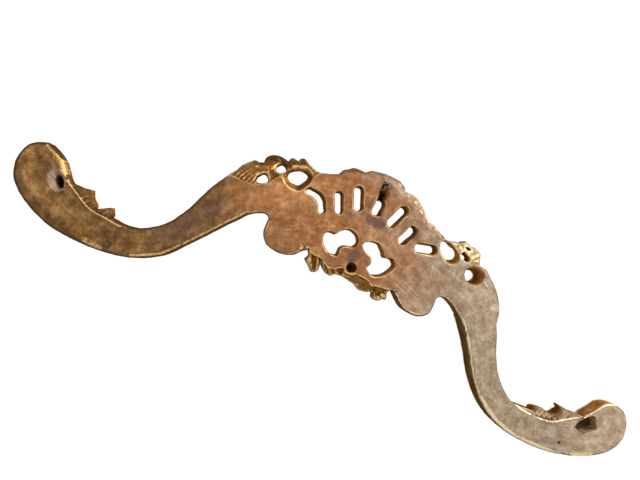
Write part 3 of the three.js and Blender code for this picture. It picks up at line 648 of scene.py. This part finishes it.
def in_spots(p, spots):
    """Which plan points lie in the boxes of fine carving, given for both sides at once."""
    fine = np.zeros(len(p), bool)
    for x0, z0, x1, z1 in spots:
        fine |= (np.abs(p[:, 0]) > x0) & (np.abs(p[:, 0]) < x1) & (p[:, 1] > z0) & (p[:, 1] < z1)
    return fine


def hex_grid(step, box):
    x0, z0, x1, z1 = box
    rows = np.arange(z0, z1, step * math.sqrt(3) / 2)
    cols = np.arange(x0, x1, step)
    x, z = np.meshgrid(cols, rows)
    x[1::2] += step / 2
    return np.c_[x.ravel(), z.ravel()]


def sheet(loops, extra_loops, spots):
    """Triangles over the plan with its holes: points, triangles and the index row of each boundary loop."""
    starts = np.concatenate([[0], np.cumsum([len(loop) for loop in loops])])
    fixed = loops + extra_loops
    fixed_points = np.vstack(fixed)
    tree = tree_of(fixed_points)
    box = (*(fixed_points.min(0) - 1), *(fixed_points.max(0) + 1))
    rings = []
    for offset in RING_OFFSETS:
        ring = np.vstack([loop - outward(loop) * offset for loop in loops])
        _, gap = nearest(tree, ring)
        rings.append(ring[gap > RING_CLEARANCE * offset])
    ring_tree = tree_of(np.vstack([fixed_points, *rings]))
    inner = []
    for step, fine in ((COARSE_GRID, False), (FINE_GRID, True)):
        grid = hex_grid(step, box)
        grid = grid[in_spots(grid, spots) == fine]
        _, gap = nearest(ring_tree, grid)
        inner.append(grid[gap > GRID_CLEARANCE * step])
    points = np.vstack([fixed_points, *rings, *inner])
    edges, faces, first = [], [], 0
    for loop in fixed:
        index = list(range(first, first + len(loop)))
        edges += list(zip(index, index[1:] + index[:1]))
        faces.append(index if area(loop) > 0 else index[::-1])
        first += len(loop)
    made = geometry.delaunay_2d_cdt([Vector(p) for p in points.tolist()], edges, faces, 0, 1e-5)
    where = np.full(len(points), -1)
    for i, origins in enumerate(made[3]):
        where[list(origins)] = i
    holes = range(1, len(loops))
    keep = [i for i, origins in enumerate(made[5]) if 0 in origins and not any(o in holes for o in origins)]
    triangles = np.array([made[2][i] for i in keep])
    plan = np.array([list(v) for v in made[0]])
    a, b, c = plan[triangles[:, 0]], plan[triangles[:, 1]], plan[triangles[:, 2]]
    turned = (b - a)[:, 0] * (c - a)[:, 1] - (b - a)[:, 1] * (c - a)[:, 0] < 0
    triangles[turned] = triangles[turned][:, ::-1]
    rows = [where[s:e] for s, e in zip(starts, starts[1:])]
    return plan, triangles, rows


def plain_masks(count):
    """Masks of the finish, all off."""
    return {name: np.zeros(count) for name in ("gilt", "wall", "tone", "raw", "deep_shade", "edge", "carved")}


def round_top(across):
    """Height over a half round: 1 in the middle and 0 at its sides, which are 1 away."""
    return np.sqrt(np.clip(1 - across ** 2, 0, 1))


def back_relief(p, boundary_tree, styles, pits):
    """Depth of the back surface at plan points, and the masks of its finish."""
    near, distance = nearest(boundary_tree, p)
    width, fall, gold, tone, edge = styles[near].T
    share = np.clip(1 - distance / width, 0, 1)
    bevel = fall * share ** ROUNDING_POWER
    masks = plain_masks(len(p))
    ragged = 1 + 0.5 * noise(p, 26.0, 2.0) + 0.35 * noise(p, 6.0, 7.0)
    uneven = 0.35 + 0.3 * noise(p, 60.0) + 0.14 * noise(p, 14.0, 4.0)
    bare = 0.7 * smoothstep(0.2, 0.7, share)
    slope, slope_gold = np.zeros(len(p)), np.zeros(len(p))
    line = gold * (1 - smoothstep(0.5, 1.2, np.abs(distance - 0.62 * width) / (0.34 * width * ragged)))
    for path, profile, wood, slope_tone, gold_on_slope, gold_on_edge in BACK_CUTS:
        d, _, side, past = along_path(p, curve(path, PATH_STEP))
        fade = 1 - smoothstep(0, 6, past)
        out = np.where(side > 0, d, 0) * fade
        out = np.clip(out + 0.5 * noise(p, 5.0, 6.0) * smoothstep(0, 3, out), 0, None)
        depth = np.interp(out, *np.array(profile, float).T)
        deeper = depth > slope
        slope_gold = np.where(deeper, gold_on_slope, slope_gold)
        tone = np.where(deeper, slope_tone, tone)
        bare = np.where(deeper, wood, bare)
        slope = np.maximum(slope, depth)
        near_edge = 1 - smoothstep(0.5, 1.2, np.abs(d * side - 0.3) / (1.1 * ragged))
        line = np.maximum(line, gold_on_edge * fade * near_edge)
    carved = smoothstep(0.6, 3.0, slope)
    rise = np.zeros(len(p))
    for path, half_width, height in STROKES:
        d, t, _, _ = along_path(p, curve(path, PATH_STEP))
        rise = np.maximum(rise, 0.75 * height * round_top(d / half_width) * (1 - 0.35 * t))
    rise = rise * carved + 0.35 * noise(p, 3.2, 4.0) * carved
    depth = np.maximum(uneven, 0) * (1 - carved) + np.maximum(slope - rise, 0.3 * carved) + bevel
    bevel_in = inside_loop(p, pits["bevel"])
    oval_in = inside_loop(p, pits["oval"])
    bevel_width = np.maximum(bevel_in - np.minimum(oval_in, 0), 1e-6)
    depth += np.where(bevel_in > 0, HANGER_BEVEL_DEPTH * np.clip(bevel_in, 0, None) / bevel_width, 0)
    depth += (HANGER_DEPTH - HANGER_BEVEL_DEPTH) * np.clip(oval_in / PIT_SLOPE, 0, 1)
    masks["raw"] = smoothstep(-0.3, 0.3, bevel_in) * (1 - smoothstep(0, 0.6, oval_in))
    # The hanger hole is darkened inside with painted shade
    masks["deep_shade"] = smoothstep(0.4, 2.4, oval_in)
    bare = np.maximum(bare, smoothstep(-0.2, 0.2, oval_in))
    # Blind pits, darkened towards their floors with painted shade
    for name, (deep, shade, floor_at) in PITS.items():
        d = inside_loop(p, pits[name])
        depth += deep * np.clip(d / PIT_SLOPE, 0, 1)
        if name == "pocket":
            low = np.maximum(1 - smoothstep(2, 6, d), smoothstep(150, 158, -p[:, 1]))
            masks["raw"] = np.maximum(masks["raw"], 0.8 * smoothstep(0, 0.6, d) * low)
        bare = np.maximum(bare, smoothstep(-0.2, 0.2, d))
        masks["deep_shade"] = np.maximum(masks["deep_shade"], smoothstep(floor_at, floor_at + DARK_FADE, d) * shade)
    d, t, side, past = along_path(p, GOUGE)
    half = GOUGE_WIDTH / 2
    across = d * side + 1.2 * noise(p, 3.0, 8.0)
    trough = smoothstep(-half, 0.2 * half, across) * (1 - smoothstep(0.75 * half, half, across))
    inside = smoothstep(0.02, 0.2, trough) * (1 - smoothstep(0.0, 1.5, past))
    depth += inside * (GOUGE_DEPTH * trough * (1 - t ** 2.5) + 2.4 * np.abs(noise(p, 2.2, 1.0)))
    fibres = smoothstep(0.62, 0.85, t) * smoothstep(-0.4, 0.3, noise(p, 2.4, 5.0))
    # The gouge is darkened inside with painted shade, except at its torn fibres
    masks["deep_shade"] = np.maximum(masks["deep_shade"], inside * smoothstep(0.3, 0.9, trough) * (1 - 0.9 * fibres))
    bare = np.maximum(bare, inside)
    tone = np.where(inside > 0, 0.45, tone)
    masks["raw"] = np.maximum(masks["raw"], inside * fibres)
    masks["gilt"] = np.maximum(slope_gold * carved, line)
    # Dark line along the very edge: painted shade on the rounded arris
    masks["edge"] = edge * (1 - smoothstep(1.6, 3.4, distance))
    masks["wall"], masks["tone"], masks["carved"] = bare, tone, carved
    return np.maximum(depth, 0), masks


def dome(d, radius, crest):
    """Depth of a half-round form on the front."""
    return ROLL_BASE + (crest - ROLL_BASE) * round_top(d / radius)


def groove(x, at, width):
    """Soft groove, 1 deep in its middle."""
    return np.exp(-((x - at) / width) ** 2)


def roll(p, path, half_widths, crests):
    """Depth of a half-round roll along a path on the front, and how far across it each point lies."""
    d, t, _, _ = along_path(p, path)
    width = np.interp(t, np.linspace(0, 1, len(half_widths)), half_widths)
    crest = np.interp(t, np.linspace(0, 1, len(crests)), crests)
    return dome(d, width, crest), d / width


def arms(p):
    """Depth of the moulded arms, between their upper and lower edges."""
    for upper, lower in (
        (ARM_UPPER_GUIDE, [PLUS_ARM_ROOT[-1], *PLUS_ARM_LOWER]),
        ([[-x, z] for x, z in ARM_UPPER_GUIDE], [MINUS_HEAD[-1], *MINUS_ARM_LOWER][::-1]),
    ):
        du, _, _, past_u = along_path(p, curve(upper, GUIDE_STEP))
        dl, _, _, past_l = along_path(p, curve(lower, GUIDE_STEP))
        inwards = np.minimum(du, dl) / FILLET_WIDTH
        profile = np.interp(inwards, *np.array(ARM_PROFILE).T) - 0.7 * groove(inwards, 0.2, 0.05)
        within = (1 - smoothstep(0, ARM_FADE, past_u)) * (1 - smoothstep(0, ARM_FADE, past_l))
        yield GROUND_DEPTH + (profile - GROUND_DEPTH) * (within * (np.maximum(du, dl) < ARM_REACH))


def volutes(p):
    """Depths of the volutes and of their eyes."""
    widths = [VOLUTE_HALF_WIDTH, VOLUTE_HALF_WIDTH, 0.6 * VOLUTE_HALF_WIDTH]
    for eye, path in VOLUTES:
        body, across = roll(p, curve(path, PATH_STEP), widths, [CREST_DEPTH, CREST_DEPTH - CREST_DIP])
        yield body - 0.9 * groove(across, 0.55, 0.1)
        yield dome(np.hypot(*(p - eye).T), EYE_RADIUS, CREST_DEPTH)


def shell(p):
    """Depths of the ribs of the shell and of its rolled rim."""
    shallow = CREST_DEPTH - CREST_DIP
    for degrees in SHELL_ANGLES:
        outer = SHELL_LOW_OUTER if degrees in (SHELL_ANGLES[0], SHELL_ANGLES[-1]) else SHELL_OUTER
        direction = np.array([math.cos(math.radians(degrees)), math.sin(math.radians(degrees))])
        path = np.array([SHELL_FOCUS + r * direction for r in np.linspace(SHELL_INNER, outer, 12)])
        body, across = roll(p, path, [0.5 * RIB_HALF_WIDTH, RIB_HALF_WIDTH, 1.4 * RIB_HALF_WIDTH],
                            [GROUND_DEPTH + 2 * CREST_DIP, shallow, CREST_DEPTH - CREST_DIP / 2])
        yield body - 0.8 * groove(across, 0.5, 0.09)
    low = GROUND_DEPTH + CREST_DIP
    widths = [0.5 * RIM_HALF_WIDTH] + [RIM_HALF_WIDTH] * 5 + [0.5 * RIM_HALF_WIDTH]
    crests = [low, shallow, CREST_DEPTH, CREST_DEPTH, CREST_DEPTH, shallow, low]
    yield roll(p, curve(RIM_ROLL, PATH_STEP), widths, crests)[0]


def leaves(p):
    """Depths of the leaves: lobes with a groove along the middle, and a knob where they start."""
    for root, tips in LEAVES:
        root, tips = np.array(root, float), np.array(tips, float)
        first, last = tips[0] - root, tips[-1] - root
        turn = np.sign(first[0] * last[1] - first[1] * last[0])
        for i, tip in enumerate(tips):
            lean = turn * LEAF_BOW * (i / (len(tips) - 1) - 0.5)
            middle = (root + tip) / 2 + lean * np.array([-(tip - root)[1], (tip - root)[0]])
            path = curve([root + LEAF_START * (tip - root), middle, tip], PATH_STEP)
            body, across = roll(p, path, [0.6 * LEAF_HALF_WIDTH, LEAF_HALF_WIDTH, 0.7 * LEAF_HALF_WIDTH],
                                [CREST_DEPTH - CREST_DIP, CREST_DEPTH, EDGE_DEPTH])
            yield body - 1.1 * groove(across, 0, 0.14)
        yield dome(np.hypot(*(p - root).T), LEAF_HALF_WIDTH, CREST_DEPTH)


def boss(p):
    """Depth of the round boss with its petals and the ring around its middle."""
    x, z = (p - np.array(BOSS_AT, float)).T
    d = np.hypot(x, z)
    petals = 1.1 * np.abs(np.sin(4 * np.arctan2(z, x))) * smoothstep(6, 11, d)
    return dome(d, BOSS_RADIUS, BOSS_DEPTH) - (1.1 - petals) * (d < BOSS_RADIUS) - 1.3 * groove(d, 7, 1.2)


def front_relief(p, boundary_tree):
    """Depth of the carved front at plan points, and the masks of its finish."""
    _, distance = nearest(boundary_tree, p)
    depth = GROUND_DEPTH + 0.5 * noise(p, 8.0, 3.0) + 0.3 * noise(p, 2.6, 1.0)
    depth = np.maximum.reduce([depth, *arms(p), *volutes(p), *shell(p), *leaves(p), boss(p)])
    on_head = smoothstep(*HEAD_START, np.abs(p[:, 0]))
    depth = np.maximum(depth, on_head * np.interp(distance, *np.array(HEAD_BORDER).T))
    rounding = FRONT_ARRIS_DEPTH * np.clip(1 - distance / FRONT_ARRIS_WIDTH, 0, 1) ** ROUNDING_POWER
    height = smoothstep(GROUND_DEPTH, CREST_DEPTH, depth)
    masks = plain_masks(len(p))
    masks["gilt"] = 0.8 + 0.2 * height
    # The low ground of the front is darker: painted shade
    masks["deep_shade"] = 0.25 * (1 - height)
    masks["carved"] += 1
    return np.minimum(depth, BOSS_DEPTH) - rounding, masks


def in_space(plan, depth):
    return np.c_[plan[:, 0], -depth, plan[:, 1]]


def build():
    """Points, triangles and masks of the whole closed surface, in millimetres."""
    loops = make_loops()
    backs, fronts, styles = [list(column) for column in zip(*loops)]
    pits = pit_loops()
    pit_rims = []
    for name, rim in pits.items():
        rim = densified(rim)
        pit_rims += [rim] if name == "bevel" else [rim, shrunk(rim, PIT_SLOPE)]
    back_plan, back_triangles, back_rows = sheet(backs, pit_rims, BACK_SPOTS)
    front_plan, front_triangles, front_rows = sheet(fronts, [], FRONT_SPOTS)
    back_depth, back_masks = back_relief(back_plan, tree_of(np.vstack(backs)), np.vstack(styles), pits)
    front_depth, front_masks = front_relief(front_plan, tree_of(np.vstack(fronts)))
    points = [in_space(back_plan, back_depth), in_space(front_plan, front_depth)]
    parts = [back_masks, front_masks]
    triangles = [back_triangles[:, ::-1], front_triangles + len(back_plan)]
    first = len(back_plan) + len(front_plan)
    for (back, front, style), back_row, front_row in zip(loops, back_rows, front_rows):
        n = len(back)
        rows = [back_row]
        near, far = back_depth[back_row], front_depth[front_row]
        along = np.concatenate([[0], np.cumsum(np.linalg.norm(np.diff(back, axis=0), axis=1))])
        for k in range(1, WALL_ROWS):
            f = k / WALL_ROWS
            depth = near + (far - near) * f
            strokes = np.c_[along, 0.35 * depth]
            bulge = math.sin(math.pi * f) ** 0.6
            shift = bulge * (0.45 * noise(strokes, 5.0, 2.0) + 0.5 * noise(strokes, 16.0, 7.0) - 0.2)
            moved = back + (front - back) * f + outward(back) * shift[:, None]
            points.append(in_space(moved, depth))
            rows.append(np.arange(first, first + n))
            first += n
            masks = plain_masks(n)
            masks["tone"] = style[:, 3]
            masks["wall"] += 1
            # Walls darken towards the front with painted shade
            masks["deep_shade"] = 0.35 * smoothstep(0.5, 1.0, f) * np.ones(n)
            masks["carved"] += 1
            parts.append(masks)
        rows.append(front_row + len(back_plan))
        for upper, lower in zip(rows, rows[1:]):
            a, b = upper, np.roll(upper, -1)
            c, d = np.roll(lower, -1), lower
            triangles.append(np.c_[a, b, c])
            triangles.append(np.c_[a, c, d])
    masks = {name: np.concatenate([part[name] for part in parts]) for name in back_masks}
    return np.vstack(points), np.vstack(triangles), masks


def hollowness(points, triangles):
    """How far each point lies below its smoothed surroundings, in millimetres: positive in hollows."""
    corners = points[triangles]
    face = np.cross(corners[:, 1] - corners[:, 0], corners[:, 2] - corners[:, 0])
    count = len(points)
    pairs = np.vstack([triangles[:, [0, 1]], triangles[:, [1, 2]], triangles[:, [2, 0]]])
    pairs = np.vstack([pairs, pairs[:, ::-1]])
    degree = np.maximum(np.bincount(pairs[:, 0], minlength=count), 1)
    normal = np.stack([sum(np.bincount(triangles[:, k], face[:, axis], count) for k in range(3))
                       for axis in range(3)], 1)
    normal /= np.linalg.norm(normal, axis=1, keepdims=True) + 1e-9
    smooth = points.copy()
    for _ in range(HOLLOW_ROUNDS):
        smooth = np.stack([np.bincount(pairs[:, 0], smooth[pairs[:, 1], axis], count) / degree
                           for axis in range(3)], 1)
    return ((smooth - points) * normal).sum(1)


def make_piece():
    points, triangles, masks = build()
    mesh = bpy.data.meshes.new("carved_pediment_fine")
    mesh.vertices.add(len(points))
    mesh.vertices.foreach_set("co", (points * MM).astype(np.float32).ravel())
    mesh.loops.add(3 * len(triangles))
    mesh.loops.foreach_set("vertex_index", triangles.astype(np.int32).ravel())
    mesh.polygons.add(len(triangles))
    mesh.polygons.foreach_set("loop_start", np.arange(0, 3 * len(triangles), 3, dtype=np.int32))
    mesh.update(calc_edges=True)
    mesh.validate()
    mesh.polygons.foreach_set("use_smooth", np.ones(len(mesh.polygons), bool))
    mesh.set_sharp_from_angle(angle=math.radians(SMOOTH_ANGLE))
    plan = points[:, [0, 2]]
    d, t, side, _ = along_path(plan, curve(SPINE, SPINE_STEP))
    masks["flow_along"] = t * FLOW_LENGTH
    masks["flow_across"] = d * side
    # Hollows and crests drive painted shade and painted highlights in the material
    hollow = hollowness(points, triangles)
    masks["hollow"] = np.clip(hollow / FULL_HOLLOW, 0, 1)
    masks["crest"] = np.clip(-hollow / FULL_CREST, 0, 1)
    on_back = smoothstep(*PAINT_END, points[:, 1])
    masks.update({name: values * on_back for name, values in zones(plan).items()})
    for name, values in masks.items():
        layer = mesh.attributes.new(name, "FLOAT", "POINT")
        layer.data.foreach_set("value", values.astype(np.float32))
    return add_object("carved_pediment_fine", mesh)


def zones(p):
    """Broad tones of the painted back, dark on the +X arm and taupe on the -X arm, and the marks on it,
    painted highlights and painted shade among them.
    """
    olive = smoothstep(150, 285, p[:, 0] + 26 * noise(p, 40.0, 6.0))
    crest = np.clip(p[:, 1] - 55, 0, None)
    taupe = smoothstep(-30, 190, -p[:, 0] + 0.4 * p[:, 1] + 3 * crest + 34 * noise(p, 40.0, 8.0))
    found = {"olive": olive, "taupe": taupe, "scratch": np.zeros(len(p))}
    for name, marks in MARKS.items():
        found[name] = np.max([strength * mark(p, path, half) for path, half, strength in marks], axis=0)
    for path in SCRATCHES:
        d, t, _, _ = along_path(p, curve(path, GUIDE_STEP))
        thinning = np.sin(math.pi * np.clip(t, 0.02, 0.98)) ** 0.5
        found["scratch"] = np.maximum(found["scratch"], np.clip(SCRATCH_WIDTH - d, 0, 1) * thinning)
    return found


def add_object(name, data):
    made = bpy.data.objects.new(name, data)
    bpy.context.scene.collection.objects.link(made)
    return made


class Nodes:
    """Short forms for building a node tree."""

    def __init__(self, owner):
        owner.use_nodes = True
        self.tree = owner.node_tree
        self.tree.nodes.clear()

    def add(self, kind, inputs=None, **settings):
        """New node. Its inputs are numbers, colours or outputs of other nodes."""
        node = self.tree.nodes.new("ShaderNode" + kind)
        for name, value in settings.items():
            setattr(node, name, value)
        for key, value in (inputs or {}).items():
            if isinstance(value, bpy.types.NodeSocket):
                self.tree.links.new(value, node.inputs[key])
            else:
                node.inputs[key].default_value = (*value, 1.0) if isinstance(value, tuple) else value
        return node

    def mask(self, name):
        """Value that the points of the mesh carry under this name."""
        return self.add("Attribute", attribute_name=name, attribute_type="GEOMETRY").outputs["Fac"]

    def math(self, operation, a, b=0.0, c=0.0, clamp=False):
        return self.add("Math", {0: a, 1: b, 2: c}, operation=operation, use_clamp=clamp).outputs[0]

    plus = partialmethod(math, "ADD")
    minus = partialmethod(math, "SUBTRACT")
    times = partialmethod(math, "MULTIPLY")
    times_plus = partialmethod(math, "MULTIPLY_ADD")
    highest = partialmethod(math, "MAXIMUM")

    def noise(self, vector, scale, detail=3.0, roughness=0.55):
        inputs = {"Vector": vector, "Scale": scale, "Detail": detail, "Roughness": roughness}
        return self.add("TexNoise", inputs).outputs["Fac"]

    def ramp(self, fac, places, colours):
        node = self.add("ValToRGB", {"Fac": fac})
        elements = node.color_ramp.elements
        while len(elements) < len(places):
            elements.new(0.5)
        for element, at, colour in zip(elements, places, colours):
            element.position = at
            element.color = (*colour, 1.0) if isinstance(colour, tuple) else (colour, colour, colour, 1.0)
        return node.outputs["Color"]

    def mix(self, fac, a, b):
        return self.add("Mix", {0: fac, 6: a, 7: b}, data_type="RGBA").outputs[2]

    def scaled(self, colour, factor):
        return self.add("VectorMath", {0: colour, "Scale": factor}, operation="SCALE").outputs[0]

    def streaks(self, per_along, per_across):
        """Place measured along and across the brush strokes, in streaks."""
        along = self.times(self.mask("flow_along"), per_along)
        across = self.times(self.mask("flow_across"), per_across)
        return self.add("CombineXYZ", {0: along, 1: across}).outputs[0]


def gilt_wood():
    """Bronze-brown painted and worn gilt wood with painted highlights and painted shade, its masks taken from
    the mesh.
    """
    material = bpy.data.materials.new("gilt_wood_worn")
    n = Nodes(material)
    where = n.add("TexCoord").outputs["Object"]
    along, across = n.mask("flow_along"), n.mask("flow_across")
    # From broad cloudy tones to single grains, with scales per metre, then strokes of the brush
    broad = n.noise(where, 11.0, 3.0)
    blotch = n.noise(where, 60.0, 5.0, 0.65)
    mottle = n.noise(where, 190.0, 4.0, 0.6)
    grit = n.noise(where, 600.0, 2.0)
    streak = n.noise(n.streaks(0.012, 0.11), 1.0, 4.0, 0.6)
    fine = n.noise(n.streaks(0.05, 0.5), 1.0, 3.0, 0.6)

    # Paint of three tones, with random shades, painted highlights from the sheen marks, hatching, hairlines,
    # scratches and stains
    tone = n.times_plus(blotch, 0.7, n.times(streak, 0.3))
    copper, olive, taupe = [n.ramp(tone, PAINT_STOPS, colours) for colours in (COPPER, OLIVE, TAUPE)]
    paint = n.mix(n.mask("taupe"), n.mix(n.mask("olive"), copper, olive), taupe)
    shade = 1.0
    for texture, strength in ((broad, 0.7), (mottle, 0.75), (grit, 0.5), (fine, 0.35)):
        shade = n.times_plus(n.minus(texture, 0.5), strength, shade)
    weave = n.times(n.math("SINE", n.times(n.plus(along, across), HATCH_PITCH)),
                    n.math("SINE", n.times(n.minus(along, across), HATCH_PITCH)))
    hair = n.math("ABSOLUTE", n.minus(n.noise(where, 26.0, 2.0, 0.4), 0.5))
    hair = n.times(n.ramp(hair, (0.0, 0.012), (1.0, 0.0)), n.times_plus(n.mask("taupe"), 0.8, 0.2))
    weave = n.times(weave, n.mask("hatch"))
    # The sheen marks lighten the paint as painted highlights
    for texture, strength in ((n.mask("sheen"), 0.55), (weave, 0.22), (hair, 0.14), (n.mask("scratch"), 0.5)):
        shade = n.times_plus(texture, strength, shade)
    paint = n.mix(n.times(n.mask("stain"), 0.8), n.scaled(paint, shade), STAIN)

    # Walls, bare wood and gold that has rubbed off, with more and brighter gold on crests as painted
    # highlights and less gold in hollows as painted shade
    bronze = n.scaled(n.mix(n.mask("tone"), DARK_WOOD, BRONZE), n.ramp(blotch, WOOD_STOPS, (0.55, 1.6)))
    base = n.mix(n.mask("wall"), paint, bronze)
    base = n.mix(n.times(n.mask("raw"), 0.9), base, n.ramp(fine, WOOD_STOPS, RAW_WOOD))
    leaf = n.highest(n.mask("gilt"), n.mask("worn"))
    leaf = n.times_plus(n.mask("crest"), n.times(leaf, 0.5), leaf)
    leaf = n.minus(leaf, n.times(n.mask("hollow"), 0.35))
    wear = n.plus(n.times(blotch, 0.7), n.times(mottle, 0.7))
    gold_kept_and_lit = n.ramp(n.plus(n.minus(n.times(leaf, 1.4), wear), 0.35), (0.36, 0.56), (0.0, 1.0))
    # Gold is brighter on crests: painted highlight
    glint = n.times_plus(n.mask("crest"), 0.25, mottle)
    gold = n.mix(n.mask("taupe"), n.ramp(glint, (0.36, 0.5, 0.74), GOLD),
                 n.ramp(glint, (0.36, 0.5, 0.72), PALE_GOLD))
    base = n.mix(n.times(gold_kept_and_lit, 0.92), base, gold)

    # Painted shade in hollows and along edges, partly dirt, with the dark marks, then painted shade deep in
    # holes and recesses
    shade_and_dirt = n.times(n.mask("hollow"), n.mask("carved"), clamp=True)
    shade_and_dirt = n.highest(shade_and_dirt, n.times(n.mask("edge"), 1.1))
    shade_and_dirt = n.times(n.times_plus(mottle, 1.2, 0.35), shade_and_dirt, clamp=True)
    shade_and_dirt = n.minus(n.highest(shade_and_dirt, n.mask("shade")), n.mask("raw"), clamp=True)
    base = n.mix(shade_and_dirt, base, SHADE_AND_DIRT)
    base = n.mix(n.mask("deep_shade"), base, DEEP_SHADE_COLOUR)

    matt = n.highest(n.mask("wall"), n.mask("deep_shade"))
    height = n.plus(n.times(fine, 0.5), n.times(mottle, 0.6))
    height = n.plus(height, n.times(grit, 0.15))
    bump = n.add("Bump", {"Strength": 0.5, "Distance": MM, "Height": height})
    shader = n.add("BsdfPrincipled", {
        "Base Color": base,
        "Specular IOR Level": n.times_plus(matt, -0.15, 0.15),
        "Metallic": n.times_plus(gold_kept_and_lit, 0.5, n.times_plus(matt, -0.2, 0.2)),
        "Roughness": n.times_plus(fine, 0.3, n.times_plus(matt, 0.2, 0.35)),
        "Normal": bump.outputs[0],
    })
    n.add("OutputMaterial", {"Surface": shader.outputs[0]})
    return material


def make_camera():
    """Camera at the photograph's place, facing the back and rolled about 25 degrees."""
    up = Vector(CAMERA_UP)
    back = Vector(CAMERA_RIGHT).cross(up).normalized()
    right = up.cross(back).normalized()
    data = bpy.data.cameras.new("camera")
    data.lens = LENS
    data.sensor_width = SENSOR
    camera = add_object("camera", data)
    matrix = Matrix((right, back.cross(right), back)).transposed().to_4x4()
    matrix.translation = CAMERA_AT
    camera.matrix_world = matrix
    bpy.context.scene.camera = camera


def area_light(name, at, size, power):
    """Round soft light that faces the middle of the piece."""
    data = bpy.data.lights.new(name, "AREA")
    data.shape = "DISK"
    data.size = size
    data.energy = power
    light = add_object(name, data)
    light.location = at
    light.rotation_euler = (Vector(LIGHT_TARGET) - Vector(at)).to_track_quat("-Z", "Y").to_euler()


def make_stage():
    """White surroundings, soft lights on both sides and a pale floor below."""
    world = bpy.data.worlds.new("studio")
    bpy.context.scene.world = world
    bpy.context.scene.view_settings.view_transform = "Standard"
    n = Nodes(world)
    glow, backdrop = [n.add("Background", {"Color": (1, 1, 1), "Strength": strength}).outputs[0]
                      for strength in (WORLD_GLOW, BACKDROP)]
    seen = n.add("LightPath").outputs["Is Camera Ray"]
    n.add("OutputWorld", {"Surface": n.add("MixShader", {0: seen, 1: glow, 2: backdrop}).outputs[0]})
    for light in LIGHTS:
        area_light(*light)
    mesh = bpy.data.meshes.new("floor")
    mesh.from_pydata(FLOOR_CORNERS, [], [(0, 1, 2, 3)])
    floor = add_object("floor", mesh)
    material = bpy.data.materials.new("floor_white")
    n = Nodes(material)
    shader = n.add("BsdfPrincipled", {"Base Color": FLOOR_COLOUR, "Roughness": 0.8})
    n.add("OutputMaterial", {"Surface": shader.outputs[0]})
    mesh.materials.append(material)


make_camera()
make_stage()
piece = make_piece()
piece.data.materials.append(gilt_wood())
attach(piece, "root")
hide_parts("carved_pediment")
